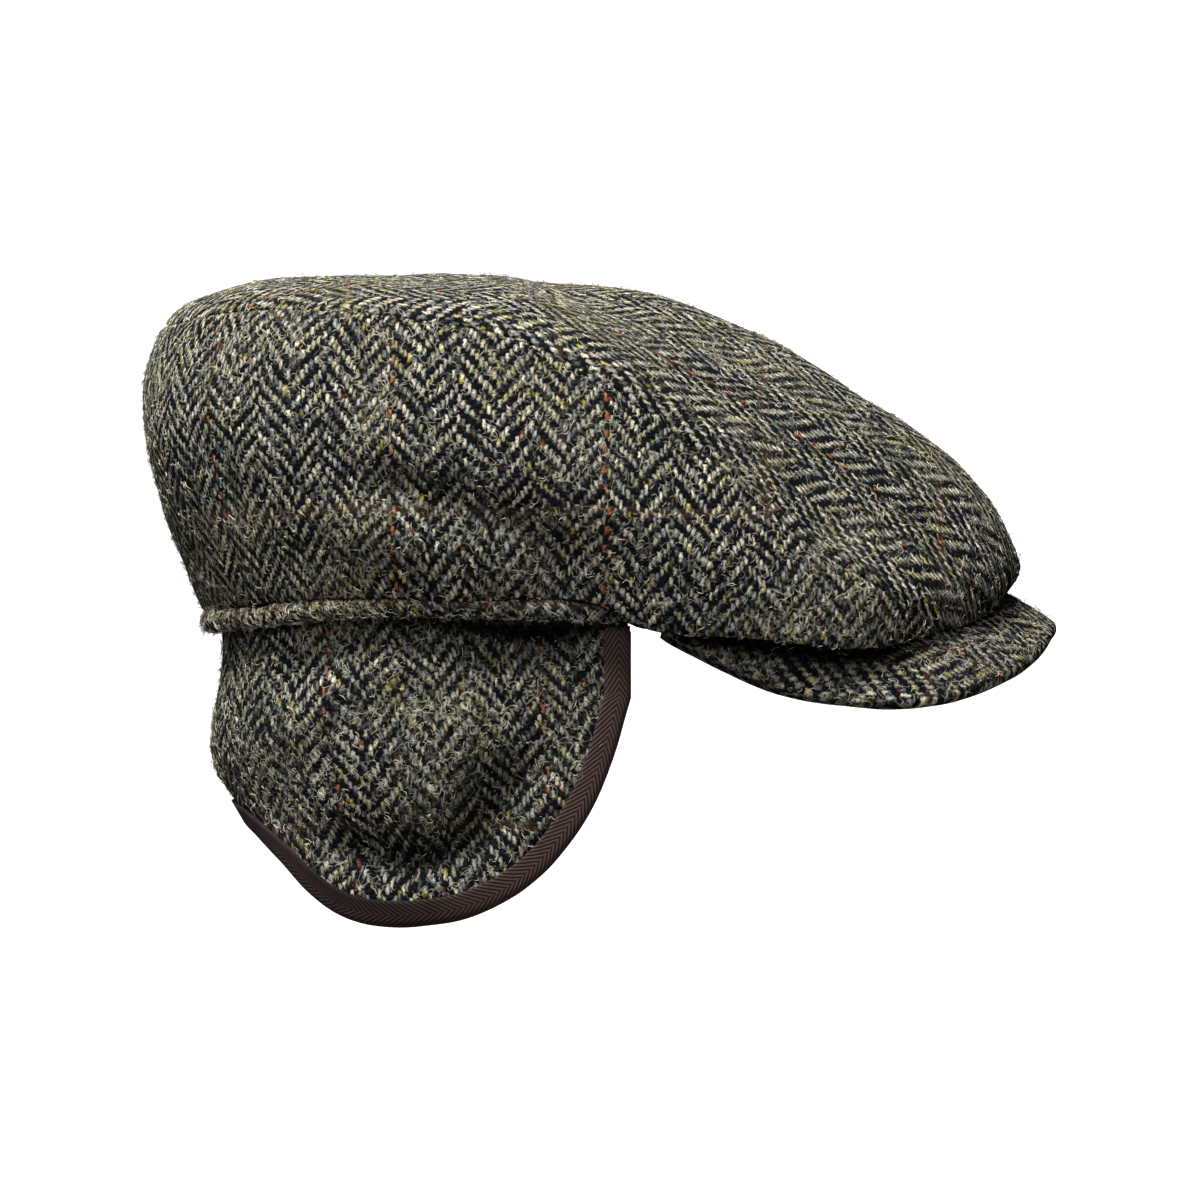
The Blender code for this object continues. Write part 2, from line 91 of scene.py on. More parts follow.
# Crown sections. Angle; then radius as a share of the crown's plan oval and height as a share of the
# crown's height, at the fullest point, the upper side, the shoulder and the top
CROWN_SECTIONS = (
    (0, 1.014, 0.140, 0.932, 0.385, 0.709, 0.636, 0.380, 0.900),
    (12, 1.004, 0.125, 0.929, 0.350, 0.712, 0.620, 0.381, 0.895),
    (20, 0.994, 0.096, 0.920, 0.296, 0.715, 0.585, 0.390, 0.887),
    (30, 0.978, 0.072, 0.905, 0.235, 0.735, 0.537, 0.407, 0.875),
    (40, 0.972, 0.078, 0.905, 0.238, 0.773, 0.514, 0.428, 0.872),
    (50, 0.950, 0.120, 0.897, 0.345, 0.782, 0.583, 0.442, 0.876),
    (60, 0.947, 0.190, 0.894, 0.485, 0.779, 0.682, 0.456, 0.883),
    (70, 0.964, 0.295, 0.900, 0.590, 0.778, 0.755, 0.470, 0.898),
    (90, 1.000, 0.430, 0.908, 0.745, 0.775, 0.849, 0.485, 0.940),
    (115, 0.985, 0.500, 0.907, 0.814, 0.772, 0.902, 0.475, 0.962),
    (140, 0.975, 0.561, 0.905, 0.854, 0.775, 0.938, 0.455, 0.985),
    (160, 0.990, 0.590, 0.940, 0.821, 0.825, 0.936, 0.453, 0.998),
    (180, 1.000, 0.585, 0.973, 0.800, 0.862, 0.938, 0.460, 1.005),
)

# Seam between top and side. Angle; share of the section's length from the lip's turned edge to the top
CROWN_SEAM = (
    (24, 0.000),
    (27, 0.050),
    (30, 0.082),
    (35, 0.127),
    (40, 0.180),
    (50, 0.285),
    (60, 0.355),
    (75, 0.421),
    (90, 0.468),
    (115, 0.480),
    (140, 0.465),
    (160, 0.452),
    (180, 0.450),
)

# Peak sections. Share of the way from the middle to the corner; outer edge: across, share of half the
# width; along, share of the reach; drop; root: rise; camber
PEAK_SECTIONS = (
    (0.00, 0.000, 0.987, 0.05, 1.00, 1.00),
    (0.12, 0.180, 0.985, 0.09, 0.98, 0.78),
    (0.24, 0.360, 0.973, 0.19, 0.92, 0.57),
    (0.36, 0.540, 0.945, 0.40, 0.82, 0.59),
    (0.48, 0.710, 0.905, 0.58, 0.69, 0.58),
    (0.60, 0.845, 0.843, 0.77, 0.53, 0.62),
    (0.70, 0.925, 0.760, 0.94, 0.38, 0.58),
    (0.80, 0.975, 0.640, 1.00, 0.24, 0.50),
    (0.90, 0.995, 0.470, 0.80, 0.14, 0.40),
    (1.00, 0.990, 0.265, 0.15, 0.10, 0.20),
)

# Flap outline. Angle; depth below the rim, share of the flap's depth
FLAP_OUTLINE = (
    (65.3, 0.262),
    (66.8, 0.342),
    (68.3, 0.425),
    (70.0, 0.504),
    (72.1, 0.583),
    (74.9, 0.663),
    (78.6, 0.743),
    (83.4, 0.824),
    (90.5, 0.904),
    (100.5, 0.971),
    (110.5, 0.996),
    (117.0, 1.000),
    (123.5, 0.990),
    (130.5, 0.955),
    (137.5, 0.890),
    (146.0, 0.795),
    (160.0, 0.706),
    (180.0, 0.685),
)

# Flap sections. Angle; radius as a share of the rim's, at the belly, low down and at the full depth
FLAP_SECTIONS = (
    (65, 0.960, 0.960, 0.945),
    (90, 0.970, 0.955, 0.915),
    (115, 0.985, 0.975, 0.935),
    (140, 0.995, 0.972, 0.885),
    (160, 1.000, 0.962, 0.745),
    (180, 1.003, 0.958, 0.620),
)

# Depths at which those radii lie, shares of the flap's depth, after the two behind the hem
FLAP_LEVELS = (0.04, 0.10, 0.38, 0.54, 1.00)

# Soft folds, as they lie seen from the side. Along Y and up Z; half width; rise, or fall where below 0.
# All are in mm
CROWN_FOLDS = (
    ((62, 46, 8, -0.6), (50, 43, 7, -2.4), (24, 36, 6, -3.4), (-5, 26, 6, -3.2), (-22, 14, 6, -1.8)),
    ((62, 30, 9, 1.4), (42, 25, 10, 3.2), (20, 18, 10, 4.0), (-2, 12, 8, 2.8)),
    ((84, 8, 8, 1.2), (46, 8, 7, 1.8), (12, 7, 7, 1.8), (-15, 6, 6, 1.0)),
    ((-24, 50, 16, 1.2), (-30, 22, 12, 1.0)),
    ((70, 70, 14, -1.0), (30, 74, 14, -0.8)),
)
FLAP_FOLDS = (
    (
        (-14, -38, 7, -4.4),
        (0, -50, 9, -7.4),
        (14, -66, 9, -8.2),
        (32, -74, 8, -7.4),
        (56, -67, 7, -5.0),
        (70, -57, 6, -2.4),
    ),
    ((-18, -26, 7, 1.4), (-15, -44, 5, 1.2), (-7, -59, 5, 1.4), (4, -73, 4, 1.6), (14, -81, 4, 1.2)),
    ((24, -24, 13, 1.6), (6, -30, 12, 2.4)),
    ((30, -9, 5, 1.4), (50, -22, 6, 2.6), (78, -40, 7, 2.0)),
    ((57, -10, 5, -2.2), (73, -23, 6, -2.4)),
    ((-2, -8, 6, -2.0), (12, -17, 5, -2.6), (20, -24, 5, -1.0)),
    ((16, -7, 5, 1.2), (36, -18, 5, 2.0), (42, -32, 6, 1.0)),
)

# Painted shade in hollows where shade falls: the cloth's colour is painted darker there, and it gets fewer
# loose fibres. Seen from the side: along Y and up Z in mm; half width in mm;
# darkness, 0 to 1
CROWN_PAINTED_SHADE = (((50, 45, 4, 0.2), (28, 39, 4, 0.3), (-4, 27, 4, 0.35), (-22, 11, 4, 0.35)),)
PEAK_PAINTED_SHADE = (
    (
        (-40, -1.5, 2.5, 0.7),
        (-50, -4, 3, 0.9),
        (-67, -7.5, 3.5, 1),
        (-98, -13, 3.5, 1),
        (-119, -10, 3, 1),
        (-134, -3, 2.5, 0.8),
    ),
)
FLAP_PAINTED_SHADE = (
    (
        (60, -2, 2.5, 0.5),
        (30, -1.5, 3, 0.8),
        (10, -3, 3.5, 1),
        (-5, -4.6, 4.5, 1),
        (-22, -3.5, 3.5, 1),
        (-36, -2.5, 2.5, 0.8),
    ),
    (
        (-14, -38, 6, 0.3),
        (0, -50, 7, 0.45),
        (13, -66, 8, 0.6),
        (32, -74, 7, 0.6),
        (56, -67, 6, 0.4),
        (70, -57, 5, 0.2),
    ),
)
TAPE_PAINTED_SHADE = (
    (
        (-8, -74, 9, 0.3),
        (15, -90, 9, 0.6),
        (34, -90, 9, 0.75),
        (52, -84, 9, 0.8),
        (68, -70, 9, 0.8),
        (96, -50, 9, 0.7),
    ),
)

# Angles at which the crown's seam starts, the peak's root and the rolled hem end, and the flap's front is
SEAM_START = CROWN_SEAM[0][0]
PEAK_ROOT_ANGLE = 58.0
HEM_END_ANGLE = 67.0
FLAP_FRONT_ANGLE = FLAP_OUTLINE[0][0]

# Slope of the cloth turned under at the lip
LIP_TURN_SLOPE = math.radians(31.0)

# How far from a sewn seam, and from a free edge, the cloth starts to round off
SEAM_ROUNDING = 0.0003
EDGE_ROUNDING = 0.0010

# Squareness of the two ovals, where 2 is an ellipse
RIM_SQUARENESS = 2.3
CROWN_SQUARENESS = 2.5

# Crown lip: how far it stands out past the rim, and clear of the peak, shares of the tweed's thickness; how
# high it rests on the hem, share of half the hem; how far its belly is from it to the crown's fullest point,
# shares across, along and up
LIP_OUT = 0.8
LIP_ON_PEAK = 0.2
LIP_ON_HEM = 0.95
LIP_BELLY = (0.62, 0.62, 0.45)

# Slack in each cloth: height, wavelength, seed
CROWN_SLACK = ((0.0008, 0.060, 5), (0.0003, 0.024, 6))
ROLL_SLACK = ((0.00022, 0.011, 9),)
PEAK_SLACK = ((0.00028, 0.030, 12), (0.00012, 0.012, 13))
FLAP_SLACK = ((0.0007, 0.042, 21),)

# Distance from the cap's middle plane over which the folds of its sides fade in
FOLD_FADE = 0.030

# Rows and columns of the grids, and steps along their edges
TOP_GRID = (64, 241)
SIDE_GRID = (56, 209)
ROLL_GRID = (29, 260)
PEAK_GRID = (34, 141)
PEAK_EDGE_ROWS = 9
FLAP_ROWS = 46
LINING_ROWS = 24
FLAP_STEPS = 110
TAPE_FRONT_STEPS = 12

# Height on the crown's side at which the cloth's picks are level
SIDE_LEVEL = 0.030

# Rows of points up a crown section; the rows from lip to fullest point that are evened out, and how often
SECTION_ROWS = 161
FULLEST_ROWS = (9, 34)
FULLEST_PASSES = 18

# The front lip has no seam, so its seam's groove is kept away by this much
NO_SEAM_AT_LIP = 0.004

# The pressed seam's groove, and the plumpness of the cloth beside it
SEAM_GROOVE = 0.00040
SEAM_GROOVE_WIDTH = 0.0011
SEAM_PLUMP = 0.00022
SEAM_PLUMP_AWAY = 0.0050
SEAM_PLUMP_WIDTH = 0.0036

# Breadths over which the flap's folds fade in, away from the tape and from the rim
FOLDS_FROM_TAPE = 0.008
FOLDS_FROM_RIM = 0.010

# Hollow of the flap where it goes up behind the roll at the ear: depth; angle and height of its middle, and
# how far it reaches from there
TUCK_DEPTH = 0.0078
TUCK_ANGLE = 88.0
TUCK_ANGLE_REACH = 16.0
TUCK_HEIGHT = -0.0066
TUCK_HEIGHT_REACH = 0.0056

# Roll: its mean thickness and how uneven it is, shares of the hem; lengths along it of that unevenness, for
# each radian; how far its cloth's columns slant round it, share of the hem
ROLL_PLUMP = 0.97
ROLL_UNEVEN = 0.05
ROLL_WAVES = (0.0093, 0.0231)
ROLL_SLANT = 0.25

# Peak: where its side tips begin to thin, share of its half width; share of its squared thickness that is
# gone at the tips; how far its outer edge turns up and down, in degrees; stretch of its cloth, root to edge
PEAK_TIP = 0.90
PEAK_TIP_THIN = 0.98
PEAK_EDGE_TURN = 78
PEAK_STRETCH = 1.05

# How far the flap's cloth leans off its grain, across for each metre down
FLAP_LEAN = 0.10

# Distance in from the flap's edge at which the tape starts to bend round it
TAPE_BEND = 0.0022

# Loose fibres: least and greatest length and radius; usual height over the cloth; depth of the root in it;
# how much they curl and hook, in radians; rings of corners between their two points
FIBRE_LENGTHS = (0.0012, 0.0046)
FIBRE_RADII = (0.00005, 0.00010)
FIBRE_STAND = 0.0006
FIBRE_ROOT = 0.00015
FIBRE_CURL = 2.6
FIBRE_HOOK = 2.2
FIBRE_RINGS = 4


def linear(code):
    """Linear colour of an sRGB hex code."""
    parts = [int(code[i : i + 2], 16) / 255 for i in (0, 2, 4)]
    return tuple(c / 12.92 if c <= 0.04045 else ((c + 0.055) / 1.055) ** 2.4 for c in parts)


def length(name, description, default):
    """A size in metres."""
    return FloatProperty(name=name, description=description, default=default, unit="LENGTH", precision=4)


def colour(name, description, code):
    """A colour given by its hex code."""
    return FloatVectorProperty(
        name=name, description=description, default=linear(code), subtype="COLOR", min=0, max=1
    )


class CapSizes(bpy.types.PropertyGroup):
    """Sizes of the cap, the same as its solids have."""

    tweed: length("Tweed", "Thickness of the tweed", 0.0020)
    lining: length("Lining", "Thickness of the flap's lining", 0.0010)
    tape: length("Tape", "Thickness of the binding", 0.0008)
    tape_width: length("Tape width", "Binding that shows on each face of the flap", 0.0083)
    rim_width: length("Rim width", "Across the head opening at the hem's middle line", 0.1680)
    rim_front: length("Rim front", "From the origin to the front of the rim", 0.0990)
    rim_back: length("Rim back", "From the origin to the back of the rim", 0.0977)
    rim_dip: length("Rim dip", "How far the rim's front lies below its back", 0.0050)
    hem: length("Hem", "Thickness of the rolled hem", 0.0066)
    crown_width: length("Crown width", "Across the fullest part of the crown", 0.2000)
    crown_front: length("Crown front", "From the origin to the front of the crown", 0.1577)
    crown_back: length("Crown back", "From the origin to the back of the crown", 0.1195)
    crown_height: length("Crown height", "Height of the crown's middle", 0.1085)
    lip_sag: length("Lip sag", "How far the lip hangs between hem and peak", 0.0130)
    lip_turn: length("Lip turn", "Cloth turned under at the lip", 0.0070)
    peak_reach: length("Peak reach", "From the origin to the peak's edge", 0.1690)
    peak_width: length("Peak width", "Across the peak's corners", 0.1540)
    peak_thickness: length("Peak thickness", "Board and its two layers of tweed", 0.0045)
    peak_drop: length("Peak drop", "How far the peak's sides hang", 0.0257)
    peak_root_rise: length("Peak root rise", "Height of the peak's root", 0.0220)
    peak_camber: length("Peak camber", "Rise of the peak between root and edge", 0.0060)
    flap_depth: length("Flap depth", "From the rim to the flap's lowest edge", 0.0935)
    flap_tuck: length("Flap tuck", "How far the flap goes up behind the hem", 0.0030)


class CapCloth(bpy.types.PropertyGroup):
    """Colours and thread spacing of the cloth, tape and lining."""

    warp_pale: colour("Pale warp", "Cream grey yarn", "f4ead0")
    warp_grey: colour("Grey warp", "Green grey yarn", "b4b9b2")
    warp_olive: colour("Olive warp", "Yellow olive yarn", "b3a866")
    weft_dark: colour("Dark weft", "Charcoal yarn", "070807")
    weft_navy: colour("Navy weft", "Blue black yarn", "0b0f18")
    check_rust: colour("Rust check", "Rust yarn of the overcheck", "b85f2a")
    check_brown: colour("Brown check", "Brown yarn of the overcheck", "4f3a2a")
    fibre: colour("Loose fibres", "Hairs that stand off the cloth", "d2cdb4")
    tape_brown: colour("Tape", "Dark brown twill tape", "53433e")
    lining_navy: colour("Lining", "Navy black lining", "151821")
    end_spacing: length("End spacing", "From one warp thread to the next", 0.00135)
    pick_spacing: length("Pick spacing", "From one weft thread to the next", 0.00147)
    fibre_count: IntProperty(name="Fibres", description="Loose fibres on the largest panel", default=7600)


def sizes():
    """The cap's sizes."""
    return bpy.context.scene.cap_sizes


def cloth():
    """The cap's cloth."""
    return bpy.context.scene.cap_cloth


# Shape


def hermite(a, start, b, end, t):
    """Cubic from a to b with the given slopes."""
    t2 = t * t
    t3 = t2 * t
    return (2 * t3 - 3 * t2 + 1) * a + (t3 - 2 * t2 + t) * start + (3 * t2 - 2 * t3) * b + (t3 - t2) * end


def read_table(table, at):
    """Smooth value of each column of a table at many places.

    A table that begins at 0 or ends at 180 is mirrored there.
    """
    keys = np.array([row[0] for row in table], float)
    values = np.array([row[1:] for row in table], float)
    first = (2 * keys[0] - keys[1], 2 * values[0] - values[1])
    last = (2 * keys[-1] - keys[-2], 2 * values[-1] - values[-2])
    if keys[0] == 0:
        first = (-keys[1], values[1])
    if keys[-1] == 180:
        last = (360 - keys[-2], values[-2])
    keys = np.concatenate(([first[0]], keys, [last[0]]))
    values = np.vstack((first[1], values, last[1]))
    at = np.clip(np.asarray(at, float), keys[1], keys[-2])
    i = np.clip(np.searchsorted(keys, at, side="right") - 1, 1, len(keys) - 3)
    span = keys[i + 1] - keys[i]
    start = (values[i + 1] - values[i - 1]) * (span / (keys[i + 1] - keys[i - 1]))[..., None]
    end = (values[i + 2] - values[i]) * (span / (keys[i + 2] - keys[i]))[..., None]
    t = ((at - keys[i]) / span)[..., None]
    return hermite(values[i], start, values[i + 1], end, t)


def run_along(points):
    """Distance along a line of points, over its first axis."""
    steps = np.linalg.norm(np.diff(points, axis=0), axis=-1)
    return np.concatenate((np.zeros((1,) + steps.shape[1:]), np.cumsum(steps, axis=0)))


def smooth_path(points, count, after):
    """Points at even distances along smooth curves through rows of points, which go on to the row after."""
    chain = np.concatenate(([2 * points[0] - points[1]], points, [after]))
    gaps = np.linalg.norm(np.diff(chain, axis=0), axis=-1)[..., None]
    fine = []
    steps = 12
    for i in range(1, len(chain) - 2):
        start = (chain[i + 1] - chain[i - 1]) / (gaps[i - 1] + gaps[i]) * gaps[i]
        end = (chain[i + 2] - chain[i]) / (gaps[i] + gaps[i + 1]) * gaps[i]
        fine += [hermite(chain[i], start, chain[i + 1], end, k / steps) for k in range(steps)]
    fine = np.array(fine + [points[-1]])
    run = run_along(fine)
    even = np.zeros((count,) + fine.shape[1:])
    for n in range(fine.shape[1]):
        stations = np.linspace(0, run[-1, n], count)
        for c in range(fine.shape[2]):
            even[:, n, c] = np.interp(stations, run[:, n], fine[:, n, c])
    return even


def fold(angle):
    """Angle of the same place on the cap's right half, 0 to 180."""
    angle = np.abs(angle) % 360
    return np.minimum(angle, 360 - angle)


def oval(angle, width, front, back, squareness):
    """Distance from the origin to a squared oval, at angles from the front."""
    a = np.radians(fold(angle))
    reach = np.where(np.cos(a) > 0, front, back)
    across = np.abs(np.sin(a)) / (width / 2)
    along = np.abs(np.cos(a)) / reach
    return (across**squareness + along**squareness) ** (-1 / squareness)


def rim_radius(angle):
    """Radius of the rolled hem's middle line."""
    s = sizes()
    return oval(angle, s.rim_width, s.rim_front, s.rim_back, RIM_SQUARENESS)


def crown_radius(angle):
    """Radius of the crown's plan oval."""
    s = sizes()
    return oval(angle, s.crown_width, s.crown_front, s.crown_back, CROWN_SQUARENESS)


def rim_height(angle):
    """Height of the rolled hem's middle line."""
    return -sizes().rim_dip * read_table(RIM_LINE, fold(angle))[..., 0]


def place(angle, radius, height):
    """Points at angles round the head."""
    a = np.radians(angle)
    return np.stack(np.broadcast_arrays(radius * np.sin(a), -radius * np.cos(a), height), axis=-1)


def unit(v):
    """Vectors of length one."""
    return v / np.maximum(np.linalg.norm(v, axis=-1, keepdims=True), 1e-12)


def ripple(points, wavelength, seed):
    """Smooth, even swelling, mostly from -1 to 1 over the points, about one wave to each wavelength."""
    rng = np.random.default_rng(seed)
    total = np.zeros(points.shape[:-1])
    waves = 7
    for _ in range(waves):
        way = unit(rng.normal(size=3)) * math.tau / wavelength * rng.uniform(0.6, 1.3)
        total += np.sin(points @ way + rng.uniform(0, math.tau))
    return total / waves * 2


def slack(points, table):
    """Relief of the slack in a cloth, by a table of heights, wavelengths and seeds."""
    return sum(height * ripple(points, wavelength, seed) for height, wavelength, seed in table)


def folds(points, table):
    """Relief of soft folds, each a row of places on the side of the cap that a rise or fall runs along.

    A fold dies away at its two ends, and towards the cap's middle plane.
    """
    relief = np.zeros(points.shape[:-1])
    for row in table:
        knots = np.array(row, float) / 1000
        last = len(knots) - 1
        steps = np.linspace(0, last, 8 * last + 1)
        y, z, wide, rise = (np.interp(steps, np.arange(last + 1), knots[:, c]) for c in range(4))
        rise = rise * np.minimum(1, 2.5 * np.minimum(steps, steps[::-1]) / last + 0.25)
        away = np.hypot(points[..., 1, None] - y, points[..., 2, None] - z) / wide
        near = np.argmin(away, axis=-1)
        relief += rise[near] * np.exp(-(np.min(away, axis=-1) ** 2))
    return relief * np.clip(np.abs(points[..., 0]) / FOLD_FADE, 0, 1)


def painted_shade(points, table):
    """Painted shade at points, 0 to 1: how dark the hollows are painted. Their table is like the folds', with
    darkness for rise.
    """
    return np.clip(1000 * folds(points, table), 0, 1)


def peak_middle(side, out):
    """Points halfway through the peak. side is -1 to 1 across, out is 0 at the root, 1 at the edge."""
    s = sizes()
    across, along, drop, rise, camber = np.moveaxis(read_table(PEAK_SECTIONS, np.abs(side)), -1, 0)
    angle = PEAK_ROOT_ANGLE * side
    root = place(angle, rim_radius(angle) - s.peak_thickness / 2, s.peak_root_rise * rise)
    sideways = np.copysign(across, side) * s.peak_width / 2
    edge = np.stack((sideways, -along * s.peak_reach, -drop * s.peak_drop), axis=-1)
    lift = 4 * out * (1 - out) * camber * s.peak_camber
    out = np.asarray(out)[..., None]
    middle = root + (edge - root) * out
    middle[..., 2] += lift
    return middle


def peak_frame(side, out):
    """The peak's outward directions and upward normals."""
    step = 0.01
    outward = unit(peak_middle(side, out + step) - peak_middle(side, out - step))
    sideways = peak_middle(np.minimum(side + step, 1), out) - peak_middle(np.maximum(side - step, -1), out)
    normal = unit(np.cross(outward, sideways))
    return outward, np.where(normal[..., 2:] < 0, -normal, normal)


def peak_top(reach):
    """Height of the peak's upper face on its middle line, at a distance from the origin."""
    outs = np.linspace(0, 1, 41)
    middle = 0 * outs
    _, normal = peak_frame(middle, outs)
    face = peak_middle(middle, outs) + normal * sizes().peak_thickness / 2
    return float(np.interp(reach, -face[:, 1], face[:, 2]))


def crown_sections(angles):
    """The crown's outer face at many angles, from the turned edge to the middle of the top."""
    s = sizes()
    over, on_peak, sag, turn = np.moveaxis(read_table(CROWN_LIP, fold(angles)), -1, 0)
    overhang = s.crown_front - s.rim_front
    radius = rim_radius(angles) + s.tweed * LIP_OUT + over * overhang
    on_hem = rim_height(angles) + s.hem / 2 * LIP_ON_HEM + GAP
    front_lip = s.rim_front + s.tweed * LIP_OUT + CROWN_LIP[0][1] * overhang
    on_top = peak_top(front_lip - s.tweed) + GAP + s.tweed * LIP_ON_PEAK
    height = on_hem + (on_top - on_hem) * on_peak - sag * s.lip_sag
    turn = turn * s.lip_turn
    turned_in = radius - turn * math.cos(LIP_TURN_SLOPE)
    turned = place(angles, turned_in, height + turn * math.sin(LIP_TURN_SLOPE))
    lip = place(angles, radius, height)
    shares = read_table(CROWN_SECTIONS, fold(angles))
    full = crown_radius(angles)
    rows = [turned, lip]
    rows += [place(angles, full * shares[:, k], s.crown_height * shares[:, k + 1]) for k in (0, 2, 4, 6)]
    rows.insert(2, lip + (rows[2] - lip) * np.array(LIP_BELLY))
    rows.append(np.zeros_like(lip) + (0, 0, s.crown_height))
    far = read_table(CROWN_SECTIONS, fold(angles + 180))
    beyond = place(angles + 180, crown_radius(angles + 180) * far[:, 6], s.crown_height * far[:, 7])
    line = smooth_path(np.array(rows), SECTION_ROWS, beyond)
    first, last = FULLEST_ROWS
    for _ in range(FULLEST_PASSES):
        beside = line[first - 1 : last - 1] + line[first + 1 : last + 1]
        line[first:last] = line[first:last] / 2 + beside / 4
    return line


def seam_share(angle):
    """Share of the crown section at which the seam lies."""
    share = read_table(CROWN_SEAM, fold(angle))[..., 0]
    return np.where(fold(angle) <= SEAM_START, 0.0, share)


def flap_radius(angle, height):
    """Radius of the flap's outer face at heights."""
    s = sizes()
    rim = rim_radius(angle)
    behind = rim - s.hem / 2 - GAP
    shares = read_table(FLAP_SECTIONS, fold(angle))
    radii = np.stack((behind, behind) + tuple(rim * shares[..., k] for k in range(3)), axis=-1)
    keys = np.array(FLAP_LEVELS) * s.flap_depth
    keys = np.concatenate(([2 * keys[0] - keys[1]], keys, [2 * keys[-1] - keys[-2]]))
    above = 2 * radii[..., :1] - radii[..., 1:2]
    below = 2 * radii[..., -1:] - radii[..., -2:-1]
    radii = np.concatenate((above, radii, below), axis=-1)
    at = np.clip(-height, keys[1], keys[-2])
    i = np.clip(np.searchsorted(keys, at, side="right") - 1, 1, len(keys) - 3)

    def pick(j):
        return np.take_along_axis(radii, j[..., None], axis=-1)[..., 0]

    span = keys[i + 1] - keys[i]
    start = (pick(i + 1) - pick(i - 1)) * span / (keys[i + 1] - keys[i - 1])
    end = (pick(i + 2) - pick(i)) * span / (keys[i + 2] - keys[i])
    return hermite(pick(i), start, pick(i + 1), end, (at - keys[i]) / span)


def flap_normal(angle, height):
    """The flap's outward normals."""
    step = 0.5
    rise = 0.0005
    along = place(angle + step, flap_radius(angle + step, height), height)
    along = along - place(angle - step, flap_radius(angle - step, height), height)
    up = place(angle, flap_radius(angle, height + rise), height + rise)
    up = up - place(angle, flap_radius(angle, height - rise), height - rise)
    return unit(np.cross(along, up))


def flap_path(count):
    """Angles and heights of the flap's edge, from one front top round the back to the other."""
    rim = float(rim_radius(90.0))
    depth = sizes().flap_depth
    flat = np.array([(math.radians(angle) * rim, -share * depth) for angle, share in FLAP_OUTLINE])
    after = np.array((2 * flat[-1, 0] - flat[-2, 0], flat[-2, 1]))
    flat = smooth_path(flat[:, None, :], count + 1, after[None, :])[:, 0]
    angle = np.degrees(flat[:, 0] / rim)
    return (
        np.concatenate((angle, 360 - angle[-2::-1])),
        np.concatenate((flat[:, 1], flat[-2::-1, 1])),
    )


def inset_path(angle, height, inset):
    """A path of angles and heights moved into the flap by distances."""
    rim = float(rim_radius(90.0))
    flat = np.stack((np.radians(angle) * rim, height), axis=-1)
    ahead = np.empty_like(flat)
    ahead[1:-1] = flat[2:] - flat[:-2]
    ahead[0] = flat[1] - flat[0]
    ahead[-1] = flat[-1] - flat[-2]
    ahead = unit(ahead)
    moved = flat + np.stack((-ahead[:, 1], ahead[:, 0]), axis=-1) * np.asarray(inset)[..., None]
    return np.degrees(moved[..., 0] / rim), moved[..., 1]


# Pieces


def crowded(count, ends):
    """Shares from 0 to 1, closer together at both ends by the given measure, 0 to 1."""
    t = np.linspace(0, 1, count)
    return t * (1 - ends) + (0.5 - 0.5 * np.cos(math.pi * t)) * ends


def deselect_all():
    """Leaves nothing selected."""
    for other in bpy.context.selected_objects:
        other.select_set(False)


def lay_grid(name, points, uv):
    """Flat grid laid on rows and columns of points, with the cloth's own flat lengths as its UV map."""
    rows, columns = points.shape[:2]
    deselect_all()
    bpy.ops.mesh.primitive_grid_add(x_subdivisions=columns - 1, y_subdivisions=rows - 1, size=1.0)
    piece = bpy.context.object
    piece.name = name
    mesh = piece.data
    mesh.name = name
    mesh.vertices.foreach_set("co", points.reshape(-1))
    corners = np.zeros(len(mesh.loops), dtype=np.int32)
    mesh.loops.foreach_get("vertex_index", corners)
    mesh.uv_layers[0].name = "cloth"
    mesh.uv_layers[0].data.foreach_set("uv", uv.reshape(-1, 2)[corners].reshape(-1))
    mesh.update()
    return piece


def close_up(piece):
    """Merges doubles, fills open ends, drops what has no area and turns the faces outwards."""
    form = bmesh.new()
    form.from_mesh(piece.data)
    bmesh.ops.remove_doubles(form, verts=form.verts, dist=0.00001)
    bmesh.ops.holes_fill(form, edges=[e for e in form.edges if e.is_boundary], sides=0)
    bmesh.ops.dissolve_degenerate(form, edges=form.edges, dist=0.000005)
    loose = [v for v in form.verts if not v.link_faces]
    bmesh.ops.delete(form, geom=loose, context="VERTS")
    wires = [e for e in form.edges if not e.link_faces]
    bmesh.ops.delete(form, geom=wires, context="EDGES")
    bmesh.ops.recalc_face_normals(form, faces=form.faces)
    if form.calc_volume(signed=True) < 0:
        bmesh.ops.reverse_faces(form, faces=form.faces)
    form.to_mesh(piece.data)
    form.free()
    piece.data.shade_smooth()
    return piece


def both_faces(outer, normal, thickness, edge_distance, rounding):
    """Outer and inner faces of a cloth whose edges are rounded, as one loop of rows."""
    near = np.clip(edge_distance / rounding, 0, 1)
    share = np.sqrt(1 - (1 - near) ** 2)[..., None]
    half = normal * thickness / 2
    middle = outer - half
    return np.concatenate((middle + half * share, (middle - half * share)[::-1]))


def paint_shade(piece, table):
    """Marks a piece's hollows for its material, as an attribute of painted shade that darkens the cloth's
    colour there.
    """
    points = np.zeros(len(piece.data.vertices) * 3)
    piece.data.vertices.foreach_get("co", points)
    marks = piece.data.attributes.new("painted_shade", "FLOAT", "POINT")
    marks.data.foreach_set("value", painted_shade(points.reshape(-1, 3), table))
    return piece


def finish_piece(piece, node, material):
    """Gives a piece its material and body, and hides the CAD node that it stands for."""
    piece.data.materials.clear()
    piece.data.materials.append(material)
    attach(piece, "root")
    if node:
        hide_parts(node)
    return piece


